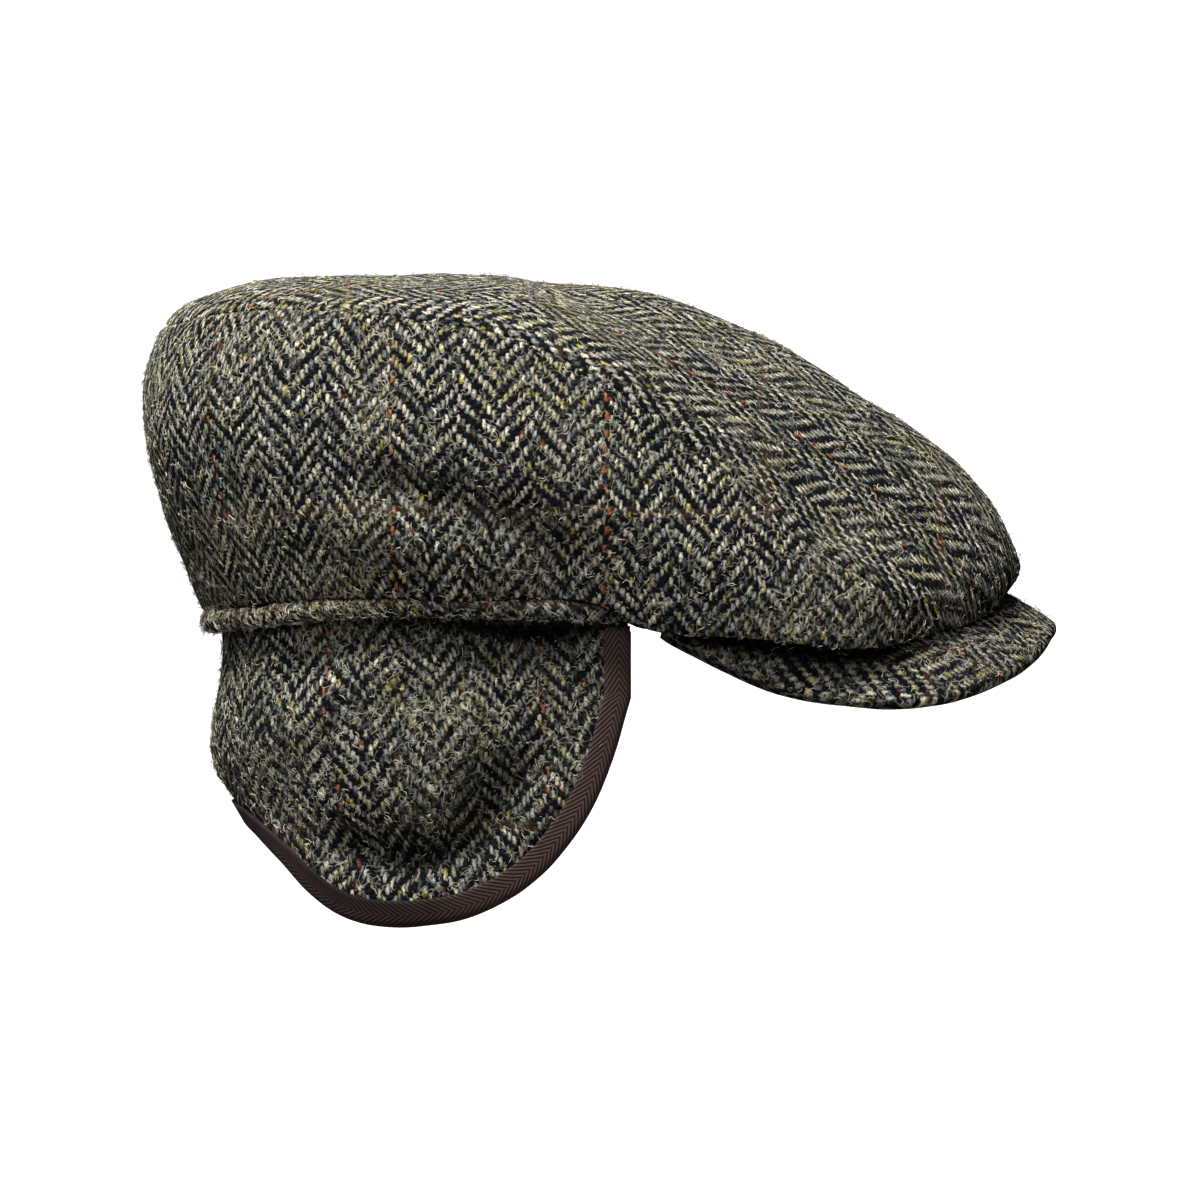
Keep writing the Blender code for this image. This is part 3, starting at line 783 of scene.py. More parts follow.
def crown_panel(angles, low, high, rows):
    """Rows of points on a panel of the crown, with their normals, shares of the section and its length."""
    sections = crown_sections(angles)
    last = sections.shape[0] - 1
    run = run_along(sections)[-1]
    shares = low + (high - low) * crowded(rows, 0.85)[:, None]
    x = np.clip(shares, 0, 1) * last
    first = np.clip(x.astype(int), 0, last - 1)
    pick = np.arange(len(angles))[None, :]
    part = (x - first)[..., None]
    points = sections[first, pick] + (sections[first + 1, pick] - sections[first, pick]) * part
    around = np.gradient(sections, axis=1)
    whole_round = angles[-1] - angles[0] == 360
    if whole_round:
        around[:, 0] = around[:, -1] = (sections[:, 1] - sections[:, -2]) / 2
    up = np.gradient(sections, axis=0)
    normals = unit(np.cross(around, up))
    normals[-1] = (0, 0, 1)
    normal = unit(normals[first, pick] + (normals[first + 1, pick] - normals[first, pick]) * part)
    return points, normal, shares, run


def crown_swell(points, seam_distance):
    """Relief of the crown: a pressed seam that hardly shows, slack in the cloth, and soft folds."""
    groove = -SEAM_GROOVE * np.exp(-((seam_distance / SEAM_GROOVE_WIDTH) ** 2))
    plump = SEAM_PLUMP * np.exp(-(((seam_distance - SEAM_PLUMP_AWAY) / SEAM_PLUMP_WIDTH) ** 2))
    return groove + plump + slack(points, CROWN_SLACK) + folds(points, CROWN_FOLDS)


def over_arc(across, drop):
    """Length across a shallow arc that is so far to the side, and has dropped so far from its top."""
    return np.sign(across) * np.sqrt(across**2 + 4 / 3 * drop**2)


def base_arc(points):
    """Distance round the crown's plan, from the wearer's left, at the place nearest to each point."""
    angles = np.linspace(0, 360, 721)
    line = place(angles, crown_radius(angles), 0 * angles)
    run = run_along(line)
    run = run - np.interp(90, angles, run)
    flat = points.reshape(-1, 3)[:, :2]
    nearest = np.empty(len(flat), int)
    batch = 4000
    for start in range(0, len(flat), batch):
        way = flat[start : start + batch, None, :] - line[None, :, :2]
        nearest[start : start + batch] = np.argmin((way**2).sum(axis=-1), axis=1)
    before = np.clip(nearest - 1, 0, len(line) - 1)
    after = np.clip(nearest + 1, 0, len(line) - 1)
    way = line[after] - line[before]
    span = np.linalg.norm(way[:, :2], axis=1)
    offset = ((flat - line[nearest, :2]) * way[:, :2]).sum(axis=1) / np.maximum(span, 1e-9)
    return (run[nearest] + offset).reshape(points.shape[:-1])


def make_top_panel(material):
    """The crown's top panel, from its seam and the front lip to the middle."""
    rows, columns = TOP_GRID
    angles = np.linspace(0, 360, columns)
    low = seam_share(angles)
    points, normal, shares, run = crown_panel(angles, low, np.ones_like(low), rows)
    edge = (shares - low) * run
    relief = crown_swell(points, np.where(low > 0, edge, edge + NO_SEAM_AT_LIP))
    points = points + normal * relief[..., None]
    rounding = np.where(low > 0, SEAM_ROUNDING, EDGE_ROUNDING)
    loop = both_faces(points, normal, sizes().tweed, edge, rounding)

    # The cloth is measured along the ridge from front to back, and across it down both sides
    front, back = (crown_sections(np.array([angle]))[:, 0] for angle in (0.0, 180.0))
    ridge = np.concatenate((front, back[::-1]))
    ridge = np.column_stack((ridge, run_along(ridge)))
    ridge = ridge[int(np.argmin(ridge[:, 1])) : int(np.argmax(ridge[:, 1])) + 1]
    ridge = ridge[np.concatenate(([True], np.diff(ridge[:, 1]) > 1e-7))]
    drop = np.maximum(np.interp(points[..., 1], ridge[:, 1], ridge[:, 2]) - points[..., 2], 0)
    along = np.interp(points[..., 1], ridge[:, 1], ridge[:, 3])
    uv = np.stack((over_arc(points[..., 0], drop), along), axis=-1)
    uv = np.concatenate((uv, uv[::-1]))
    piece = paint_shade(close_up(lay_grid("crown_top", loop, uv)), CROWN_PAINTED_SHADE)
    return finish_piece(piece, "top_panel", material), (points, normal)


def make_side_panel(material):
    """The crown's side panel, which wraps round from one front point to the other."""
    rows, columns = SIDE_GRID
    angles = np.linspace(SEAM_START, 360 - SEAM_START, columns)
    low = np.zeros_like(angles)
    high = seam_share(angles)
    points, normal, shares, run = crown_panel(angles, low, high, rows)
    to_seam = (high - shares) * run
    to_lip = shares * run
    relief = crown_swell(points, to_seam)
    points = points + normal * relief[..., None]
    rounding = np.where(to_seam < to_lip, SEAM_ROUNDING, EDGE_ROUNDING)
    loop = both_faces(points, normal, sizes().tweed, np.minimum(to_seam, to_lip), rounding)

    # The cloth is measured up the panel from the level row, and round the crown's plan
    level = np.abs(points[..., 2] - SIDE_LEVEL)
    zero = np.argmin(level, axis=0)
    column = np.arange(len(angles))
    along = to_lip - to_lip[zero, column] + points[zero, column, 2] - SIDE_LEVEL
    uv = np.stack((base_arc(points), along), axis=-1)
    uv = np.concatenate((uv, uv[::-1]))
    piece = paint_shade(close_up(lay_grid("crown_side", loop, uv)), CROWN_PAINTED_SHADE)
    return finish_piece(piece, "side_panel", material), (points, normal)


def make_roll(material):
    """The rolled hem, a soft tube of tweed round the rim."""
    s = sizes()
    half = s.hem / 2
    rows, columns = ROLL_GRID
    angles = np.linspace(HEM_END_ANGLE, 360 - HEM_END_ANGLE, columns)
    around = np.radians(np.linspace(-180, 180, rows))
    arc = np.cumsum(np.concatenate(([0], np.diff(np.radians(angles)) * rim_radius(angles)[1:])))
    from_end = np.minimum(arc, arc[-1] - arc)
    cap = np.sqrt(1 - (1 - np.clip(from_end / half, 0, 1)) ** 2)
    plump = ROLL_PLUMP + ROLL_UNEVEN * np.sin(arc / ROLL_WAVES[0]) * np.sin(arc / ROLL_WAVES[1] + 1)
    shape = half * cap * plump
    cosine = np.cos(around)[:, None] * shape[None, :]
    sine = np.sin(around)[:, None] * shape[None, :]
    radius = rim_radius(angles)[None, :] + cosine
    height = rim_height(angles)[None, :] + sine
    points = place(np.broadcast_to(angles, radius.shape), radius, height)
    centre = place(angles, rim_radius(angles), rim_height(angles))
    normal = unit(points - centre[None])
    points = points + normal * slack(points, ROLL_SLACK)[..., None] * cap[None, :, None]
    slant = ROLL_SLANT * s.hem * np.sin(around)[:, None]
    uv = np.stack(np.broadcast_arrays(arc[None, :] + slant, around[:, None] * half), axis=-1)
    piece = paint_shade(close_up(lay_grid("rolled_edge", points, uv)), ())
    hidden = 4
    outside = points[hidden:-hidden], normal[hidden:-hidden]
    return finish_piece(piece, "rolled_hem", material), outside


def make_peak(material):
    """The stiff peak, a board covered in tweed above and below and round its edge."""
    s = sizes()
    rows, columns = PEAK_GRID

    # Columns lie closer together towards the tips
    even = np.linspace(-1, 1, columns)
    sides = np.sin(even * math.pi / 2) * 0.6 + even * 0.4
    to_tip = np.clip((np.abs(sides) - PEAK_TIP) / (1 - PEAK_TIP), 0, 1)
    half = s.peak_thickness / 2 * np.sqrt(1 - PEAK_TIP_THIN * to_tip**2)[:, None]
    outs = np.linspace(0, 1, rows)
    side_grid, out_grid = np.meshgrid(sides, outs)
    middle = peak_middle(side_grid, out_grid)
    outward, normal = peak_frame(side_grid, out_grid)
    upper = middle + normal * half
    edge = []
    for turn in np.radians(np.linspace(PEAK_EDGE_TURN, -PEAK_EDGE_TURN, PEAK_EDGE_ROWS)):
        edge.append(middle[-1] + (outward[-1] * math.cos(turn) + normal[-1] * math.sin(turn)) * half)
    lower = (middle - normal * half)[::-1]
    loop = np.concatenate((upper, np.array(edge), lower, upper[:1]))
    rim = np.repeat(middle[-1:], PEAK_EDGE_ROWS, axis=0)
    middles = np.concatenate((middle, rim, middle[::-1], middle[:1]))
    loop = loop + unit(loop - middles) * slack(loop, PEAK_SLACK)[..., None]
    run = run_along(loop)
    last = len(outs) - 1
    centre = middle[:, len(sides) // 2]
    drop = np.maximum(np.interp(-middles[..., 1], -centre[:, 1], centre[:, 2]) - middles[..., 2], 0)
    along = -PEAK_STRETCH * middles[..., 1]
    along[last + 1 :] = along[last] + run[last + 1 :] - run[last]
    uv = np.stack((over_arc(loop[..., 0], drop), along), axis=-1)
    piece = paint_shade(close_up(lay_grid("peak_cover", loop, uv)), PEAK_PAINTED_SHADE)
    return finish_piece(piece, "peak", material), (upper, normal)


def flap_sheet(face_depth, inset, rows):
    """Points of a layer of the flap, their normals, distances to its free edge and any edge, and places."""
    s = sizes()
    angle, bottom = flap_path(FLAP_STEPS)
    angle, bottom = inset_path(angle, bottom, np.full_like(angle, inset))
    top = rim_height(angle) + s.flap_tuck
    shares = crowded(rows, 0.6)[:, None]
    height = bottom + (top - bottom) * shares
    angles = np.broadcast_to(angle, height.shape)
    normal = flap_normal(angles, height)
    outer = place(angles, flap_radius(angles, height), height) - normal * face_depth
    rise = run_along(outer)
    around = run_along(np.swapaxes(outer, 0, 1)).T
    free_edge = np.minimum(rise, np.minimum(around, around[:, -1:] - around))
    return outer, normal, free_edge, np.minimum(free_edge, rise[-1:] - rise), angles, height


def make_flap_layer(name, node, material, depth, thickness, rows):
    """A layer of the let-down flap, with its face and the places on it that the tape covers."""
    s = sizes()
    outer, normal, free_edge, edge, angles, height = flap_sheet(depth, s.tape + GAP, rows)
    from_tape = np.clip((free_edge - s.tape_width) / FOLDS_FROM_TAPE, 0, 1)
    fade = from_tape * np.clip((-height - s.flap_tuck) / FOLDS_FROM_RIM, 0, 1)
    across = (fold(angles) - TUCK_ANGLE) / TUCK_ANGLE_REACH
    tuck = np.exp(-(across**2) - ((height - TUCK_HEIGHT) / TUCK_HEIGHT_REACH) ** 2)
    face = outer + normal * depth
    relief = (slack(face, FLAP_SLACK) + folds(face, FLAP_FOLDS)) * fade - TUCK_DEPTH * tuck
    outer = outer + normal * relief[..., None]
    loop = both_faces(outer, normal, thickness, edge, thickness / 2)
    rim = float(rim_radius(90.0))
    uv = np.stack((np.radians(angles) * rim + height * FLAP_LEAN, height), axis=-1)
    uv = np.concatenate((uv, uv[::-1]))
    piece = paint_shade(close_up(lay_grid(name, loop, uv)), FLAP_PAINTED_SHADE)
    covered = free_edge[:-1, :-1] < s.tape_width + s.tape
    return finish_piece(piece, node, material), (outer, normal), covered


def tape_profile():
    """Section of the tape, folded over the flap's edge: distances in from the edge, depths from the face."""
    s = sizes()
    back = s.tweed + GAP + s.lining + GAP
    outside = -GAP - s.tape
    reach = (back + s.tape - outside) / 2
    middle = (back + s.tape + outside) / 2
    profile = [(inset, outside) for inset in np.linspace(s.tape_width, TAPE_BEND, 7)]
    for turn in np.radians(np.linspace(-90, 90, 9))[1:]:
        profile.append((TAPE_BEND * (1 - math.cos(turn)), middle + reach * math.sin(turn)))
    profile += [(inset, back + s.tape) for inset in np.linspace(TAPE_BEND, s.tape_width, 5)[1:]]
    profile += [(s.tape_width, back), (s.tape, back), (s.tape, -GAP)]
    profile += [(s.tape_width, -GAP), (s.tape_width, outside)]
    return profile


def make_tape(material):
    """The tape folded over the flap's edge, from one front top round the back to the other."""
    under_hem = float(rim_height(FLAP_FRONT_ANGLE)) - sizes().hem / 2 - GAP
    angle, height = flap_path(FLAP_STEPS)
    steps = np.linspace(under_hem, height[0], TAPE_FRONT_STEPS + 1)[:-1]
    height = np.concatenate((steps, height, steps[::-1]))
    angle = np.pad(angle, TAPE_FRONT_STEPS, mode="edge")
    lines = []
    for inset, depth in tape_profile():
        a, h = inset_path(angle, height, np.full_like(angle, inset))
        lines.append(place(a, flap_radius(a, h), h) - flap_normal(a, h) * depth)
    points = np.array(lines)
    along = run_along(np.stack((np.radians(angle) * float(rim_radius(90.0)), height), axis=-1))
    across = run_along(points).mean(axis=1)
    uv = np.stack(np.broadcast_arrays(along[None, :], across[:, None]), axis=-1)
    piece = paint_shade(close_up(lay_grid("flap_tape", points, uv)), TAPE_PAINTED_SHADE)
    return finish_piece(piece, "flap_binding", material)


def make_fibres(name, face, share, seed, painted_shade_hollows=(), covered=False):
    """Loose curling fibres over a face of cloth, as one mesh of closed spindles.

    share is their number, as a share of the largest panel's. Hollows with painted shade have fewer, and
    covered places none.
    """
    points, normal = face
    count = int(cloth().fibre_count * share)
    rng = np.random.default_rng(seed)
    columns = points.shape[1]
    a = points[:-1, :-1]
    area = np.linalg.norm(np.cross(points[1:, :-1] - a, points[:-1, 1:] - a), axis=-1).reshape(-1)
    bare = np.broadcast_to(~np.array(covered), a.shape[:2]).reshape(-1)
    area = area * (1 - painted_shade(a.reshape(-1, 3), painted_shade_hollows)) * bare
    cells = rng.choice(len(area), size=count, p=area / area.sum())
    row, column = np.divmod(cells, columns - 1)
    u = rng.uniform(size=(count, 1))
    v = rng.uniform(size=(count, 1))

    def blend(grid):
        low = grid[row, column] * (1 - u) + grid[row, column + 1] * u
        high = grid[row + 1, column] * (1 - u) + grid[row + 1, column + 1] * u
        return low * (1 - v) + high * v

    base = blend(points)
    out = unit(blend(normal))
    way = rng.normal(size=(count, 3))
    way = unit(way - out * (way * out).sum(axis=1, keepdims=True))
    aside = np.cross(out, way)
    size = rng.uniform(*FIBRE_LENGTHS, (count, 1))
    curl = rng.normal(0, FIBRE_CURL, (count, 1))
    hook = rng.normal(0, FIBRE_HOOK, (count, 1))
    lift = FIBRE_STAND * rng.gamma(2.0, 0.5, (count, 1))
    radius = rng.uniform(*FIBRE_RADII, (count, 1))
    spans = FIBRE_RINGS + 1
    spine = [base]
    for k in range(spans):
        t = (k + 0.5) / spans
        turn = curl * (t - 0.5) + hook * math.sin(math.tau * t) * 0.5
        spine.append(spine[-1] + (way * np.cos(turn) + aside * np.sin(turn)) * size / spans)
    middle = sum(spine) / len(spine)
    for k, at in enumerate(spine):
        rise = lift * math.sin(math.pi * k / spans * 0.85) - FIBRE_ROOT
        spine[k] = at - middle + base + out * rise
    verts = [spine[0]]
    for k in range(1, spans):
        taper = 0.75 + 0.25 * math.sin(math.pi * k / spans)
        for turn in (0.0, math.tau / 3, 2 * math.tau / 3):
            verts.append(spine[k] + (out * math.cos(turn) + aside * math.sin(turn)) * radius * taper)
    verts.append(spine[-1])
    size_each = len(verts)
    verts = np.stack(verts, axis=1).reshape(-1, 3)
    pattern = []
    for k in range(3):
        n = (k + 1) % 3
        pattern.append((0, 1 + n, 1 + k))
        for ring in range(0, 3 * (FIBRE_RINGS - 1), 3):
            pattern.append((1 + ring + k, 1 + ring + n, 4 + ring + n))
            pattern.append((1 + ring + k, 4 + ring + n, 4 + ring + k))
        pattern.append((size_each - 4 + k, size_each - 4 + n, size_each - 1))
    faces = (np.array(pattern)[None] + size_each * np.arange(count)[:, None, None]).reshape(-1)
    mesh = bpy.data.meshes.new(name)
    mesh.vertices.add(len(verts))
    mesh.vertices.foreach_set("co", verts.reshape(-1))
    mesh.loops.add(len(faces))
    mesh.loops.foreach_set("vertex_index", faces.astype(np.int32))
    mesh.polygons.add(len(faces) // 3)
    mesh.polygons.foreach_set("loop_start", np.arange(0, len(faces), 3, dtype=np.int32))
    mesh.update(calc_edges=True)
    mesh.shade_smooth()
    piece = bpy.data.objects.new(name, mesh)
    bpy.context.scene.collection.objects.link(piece)
    return finish_piece(piece, None, finish_named("Wool_loose_fibres", fibre_finish))


# Finishes

# Ends in a column of the herringbone; ends from one rust end to the next, and picks from one pair of brown
# picks to the next; share of the crossings that have a coloured fleck
COLUMN_ENDS = 8.0
RUST_EVERY = 48.0
BROWN_EVERY = 44.0
FLECK_SHARE = 0.046

# Noises that bend the threads: scale; reach in metres
CLOTH_BENDS = ((45.0, 0.0050), (380.0, 0.0015), (1150.0, 0.00105))

# Split strands of the yarn in a metre, across and along the warp
STRANDS_ACROSS = 3600.0
STRANDS_ALONG = 900.0

# Noises whose middles draw the hairs: scale; shift, so that the two differ; half width, as a share
HAIR_LINES = ((260.0, 0.0, 0.034), (390.0, 7.3, 0.044))

# Tape: middle of its chevron across it; distance along for each metre across; from one rib to the next
TAPE_CHEVRON_MIDDLE = 0.0046
TAPE_RIB_SLANT = 1.55
TAPE_RIB_SPACING = 0.00205


def add(tree, kind, *inputs, stops=(), **settings):
    """Adds a node, whose kind may be followed by its operation or data type, with its settings by name.

    Its inputs are given in order, each an output or a node to link, a value to set, or None to leave it.
    stops are the places, 0 to 1, and colours of a node that has a row of them.
    """
    kind, _, mode = kind.partition(" ")
    node = tree.nodes.new("ShaderNode" + kind)
    if mode:
        setattr(node, "data_type" if kind == "Mix" else "operation", mode)
    for key, value in settings.items():
        setattr(node, key, value)
    sockets = [socket for socket in node.inputs if socket.enabled]
    for socket, value in zip(sockets, inputs):
        if isinstance(value, bpy.types.Node):
            value = next(output for output in value.outputs if output.enabled)
        if isinstance(value, bpy.types.NodeSocket):
            tree.links.new(value, socket)
        elif value is not None:
            socket.default_value = value
    for n, (place, tone) in enumerate(stops):
        row = node.color_ramp.elements
        stop = row[n] if n < 2 else row.new(place)
        stop.position = place
        stop.color = opaque(tone)
    return node


def new_finish(name, roughness, sheen):
    """Named material with a plain shader, and its tree."""
    finish = bpy.data.materials.new(name)
    finish.use_nodes = True
    tree = finish.node_tree
    shader = tree.nodes["Principled BSDF"]
    shader.inputs["Roughness"].default_value = roughness
    shader.inputs["Sheen Weight"].default_value = sheen
    shader.inputs["Sheen Roughness"].default_value = 0.5
    shader.inputs["Specular IOR Level"].default_value = 0.06
    return finish, tree, shader


def surface(tree, tone, relief, strength, depth):
    """Gives a finish its colour, and a bump of a strength and depth by its relief."""
    shader = tree.nodes["Principled BSDF"]
    bump = add(tree, "Bump", strength, depth, None, relief)
    tree.links.new(tone.outputs["Result"], shader.inputs["Base Color"])
    tree.links.new(bump.outputs["Normal"], shader.inputs["Normal"])


def opaque(rgb):
    """A colour with full alpha."""
    return (rgb[0], rgb[1], rgb[2], 1.0)


def tweed_finish(name, check_shift, painted_light_level):
    """Woollen tweed, woven in a two and two herringbone of pale warp on dark weft, milled and brushed.

    The eye sees short ragged floats, cream, grey and olive, stepping across near-black in columns that turn
    back every eight ends, a rust thread every six columns, and patches where matted hair blurs the pattern.
    """
    c = cloth()
    finish, tree, _ = new_finish(name, 1.0, 0.0)
    spot = add(tree, "TexCoord").outputs["Object"]
    flat = add(tree, "SeparateXYZ", add(tree, "UVMap", uv_map="cloth"))
    # Painted shade marked on the piece, 0 to 1
    painted_shade_hollows = add(tree, "Attribute", attribute_name="painted_shade").outputs["Fac"]

    def shifted(axis, shift):
        """One flat direction of the cloth, bent by three sizes of noise as soft cloth is."""
        place = add(tree, "Math ADD", flat.outputs[axis], shift)
        for scale, reach in CLOTH_BENDS:
            noise = add(tree, "SeparateXYZ", add(tree, "TexNoise", spot, scale, 1.0).outputs["Color"])
            bend = add(tree, "Math MULTIPLY_ADD", noise.outputs[axis], reach, -reach / 2)
            place = add(tree, "Math ADD", place, bend)
        return place

    # The end and the pick at this place, and how far across each it is
    across = shifted(0, check_shift)
    along = shifted(1, 0.0)
    ends = add(tree, "Math DIVIDE", across, c.end_spacing)
    picks = add(tree, "Math DIVIDE", along, c.pick_spacing)
    end = add(tree, "Math FLOOR", ends)
    pick = add(tree, "Math FLOOR", picks)
    in_end = add(tree, "Math SUBTRACT", ends, end)
    in_pick = add(tree, "Math SUBTRACT", picks, pick)

    # Two and two: the warp is up for two of each four steps, which climb in one column and fall in the next
    column = add(tree, "Math FLOORED_MODULO", end, 2.0 * COLUMN_ENDS)
    back = add(tree, "Math GREATER_THAN", column, COLUMN_ENDS - 0.5)
    phase = add(tree, "Mix FLOAT", back, column, add(tree, "Math SUBTRACT", 2.0 * COLUMN_ENDS + 1.0, column))
    stepped = add(tree, "Math ADD", pick, phase)
    step = add(tree, "Math FLOORED_MODULO", stepped, 4.0)
    warp_up = add(tree, "Math LESS_THAN", step, 1.5)
    run = add(tree, "Math FLOOR", add(tree, "Math DIVIDE", stepped, 4.0))

    # A share of its own for each float and each crossing, whose last numbers only keep the two apart
    by_float = add(tree, "TexWhiteNoise", add(tree, "CombineXYZ", end, run, 3.0))
    by_crossing = add(tree, "TexWhiteNoise", add(tree, "CombineXYZ", end, pick, 8.0))

    # Height of a thread over its float: round along and across, with a ragged split surface
    warp_place = add(tree, "Math MULTIPLY", add(tree, "Math ADD", step, in_pick), 0.5 * math.pi)
    warp_along = add(tree, "Math MAXIMUM", add(tree, "Math SINE", warp_place), 0.0)
    warp_along = add(tree, "Math POWER", warp_along, 0.6)
    warp_across = add(tree, "Math SINE", add(tree, "Math MULTIPLY", in_end, math.pi))
    warp_height = add(tree, "Math MULTIPLY", warp_along, add(tree, "Math POWER", warp_across, 0.8))
    facing = add(tree, "Mix FLOAT", back, in_end, add(tree, "Math SUBTRACT", 1.0, in_end))
    weft_place = add(tree, "Math ADD", add(tree, "Math SUBTRACT", step, 2.0), facing)
    weft_place = add(tree, "Math MULTIPLY", weft_place, 0.5 * math.pi)
    weft_along = add(tree, "Math MAXIMUM", add(tree, "Math SINE", weft_place), 0.0)
    weft_across = add(tree, "Math SINE", add(tree, "Math MULTIPLY", in_pick, math.pi))
    weft_height = add(tree, "Math MULTIPLY", weft_along, weft_across)
    weft_height = add(tree, "Math MULTIPLY", weft_height, 0.5)
    height = add(tree, "Mix FLOAT", warp_up, weft_height, warp_height)
    split_across = add(tree, "Math MULTIPLY", across, STRANDS_ACROSS)
    split_along = add(tree, "Math MULTIPLY", along, STRANDS_ALONG)
    strands = add(tree, "TexNoise", add(tree, "CombineXYZ", split_across, split_along, 0.0), 1.0, 2.0)
    strands = add(tree, "MapRange", strands, 0.34, 0.62, 0.0, 1.0)

    # Yarn colours: each warp float is cream, grey or olive, each weft pick charcoal or navy
    drift = add(tree, "Math MULTIPLY", add(tree, "TexNoise", spot, 34.0, 2.0), 0.55)
    shade = add(tree, "Math ADD", drift, add(tree, "Math MULTIPLY", by_float, 0.50))
    yarns = (
        (0.26, linear("7a7c6c")),
        (0.38, c.warp_grey),
        (0.49, c.warp_pale),
        (0.57, linear("b3ae80")),
        (0.63, c.warp_grey),
        (0.71, c.warp_pale),
        (0.80, c.warp_olive),
    )
    warp = add(tree, "ValToRGB", shade, stops=yarns)
    flecks = ((0.0, linear("6f8196")), (0.012, linear("bdb052")), (0.036, linear("8a4f2a")))
    fleck = add(tree, "ValToRGB", by_crossing, stops=flecks)
    fleck.color_ramp.interpolation = "CONSTANT"
    warp = add(tree, "Mix RGBA", add(tree, "Math LESS_THAN", by_crossing, FLECK_SHARE), warp, fleck)
    rust = add(tree, "Math LESS_THAN", add(tree, "Math FLOORED_MODULO", end, RUST_EVERY), 0.5)
    rust_worn = add(tree, "MapRange", by_float, 0.15, 0.50, 0.25, 0.92)
    warp = add(tree, "Mix RGBA", add(tree, "Math MULTIPLY", rust, rust_worn), warp, opaque(c.check_rust))
    weft = add(tree, "Mix RGBA", by_crossing, opaque(c.weft_dark), opaque(c.weft_navy))
    brown = add(tree, "Math LESS_THAN", add(tree, "Math FLOORED_MODULO", pick, BROWN_EVERY), 1.5)
    weft = add(tree, "Mix RGBA", add(tree, "Math MULTIPLY", brown, 0.34), weft, opaque(c.check_brown))
    # A float's share of warp colour, by its split strands and its height: towards its ends it fades to the
    # dark weft, partly the weft showing and partly painted shade where the float dips between picks
    light = add(tree, "Math MULTIPLY_ADD", strands, 0.82, 0.26)
    light = add(tree, "Math MULTIPLY", light, add(tree, "Math POWER", warp_height, 1.05))
    # Its own random tone, times the piece's painted light level: below 1 it paints the whole piece darker as
    # painted shade
    float_tone_and_painted_light = add(tree, "Math MULTIPLY_ADD", by_float, 0.80 * painted_light_level, 0.52 * painted_light_level)
    light = add(tree, "Math MULTIPLY", light, float_tone_and_painted_light)
    lit = add(tree, "Mix RGBA", add(tree, "Math MULTIPLY", warp_up, light), weft, warp)

    # Matted hair: a dark blur over the weave, and thin winding pale lines where a noise passes its middle
    matting = add(tree, "TexNoise", spot, 31.0, 4.0, 0.65)
    matting = add(tree, "MapRange", matting, 0.44, 0.70, 0.04, 0.80, interpolation_type="SMOOTHSTEP")
    tangle = add(tree, "MapRange", add(tree, "TexNoise", spot, 900.0, 3.0, 0.7), 0.48, 0.66, 0.0, 1.0)
    felt = add(tree, "Mix RGBA", tangle, opaque(linear("040504")), opaque(linear("9a9882")))
    lit = add(tree, "Mix RGBA", add(tree, "Math MULTIPLY", matting, 0.50), lit, felt)
    hairs = 0.0
    for scale, shift, width in HAIR_LINES:
        moved = add(tree, "VectorMath ADD", spot, (shift, 0.0, shift))
        away = add(tree, "Math SUBTRACT", add(tree, "TexNoise", moved, scale, 0.0), 0.5)
        away = add(tree, "Math ABSOLUTE", away)
        line = add(tree, "MapRange", away, 0.0, width, 1.0, 0.0, interpolation_type="SMOOTHSTEP")
        hairs = add(tree, "Math MAXIMUM", hairs, line)
    broken = add(tree, "MapRange", add(tree, "TexNoise", spot, 230.0, 1.0), 0.49, 0.57, 0.0, 1.0)
    cover = add(tree, "Math MULTIPLY_ADD", matting, 0.45, 0.34)
    cover = add(tree, "Math MULTIPLY", add(tree, "Math MULTIPLY", hairs, broken), cover)
    lit = add(tree, "Mix RGBA", cover, lit, opaque(c.fibre))
    # Painted shade: the marked hollows, under the crown's lip, under the roll and in creases, are painted
    # near-black
    lit = add(tree, "Mix RGBA", painted_shade_hollows, lit, opaque(linear("040404")))
    relief = add(tree, "Math MULTIPLY", height, add(tree, "Math SUBTRACT", 1.1, matting))
    relief = add(tree, "Math ADD", relief, cover)
    relief = add(tree, "Math ADD", relief, add(tree, "Math MULTIPLY", strands, 0.30))
    surface(tree, lit, relief, 1.0, 0.00070)
    return finish


def fibre_finish():
    """Loose wool hair, undyed to olive grey: a soft pale thread with no gloss."""
    finish, tree, shader = new_finish("Wool_loose_fibres", 0.85, 0.0)
    spot = add(tree, "TexCoord").outputs["Object"]
    hairs = ((0.42, linear("0d0d0a")), (0.55, cloth().fibre), (0.70, linear("ece7cf")))
    tone = add(tree, "ValToRGB", add(tree, "TexNoise", spot, 240.0, 1.0), stops=hairs)
    tree.links.new(tone.outputs["Color"], shader.inputs["Base Color"])
    return finish


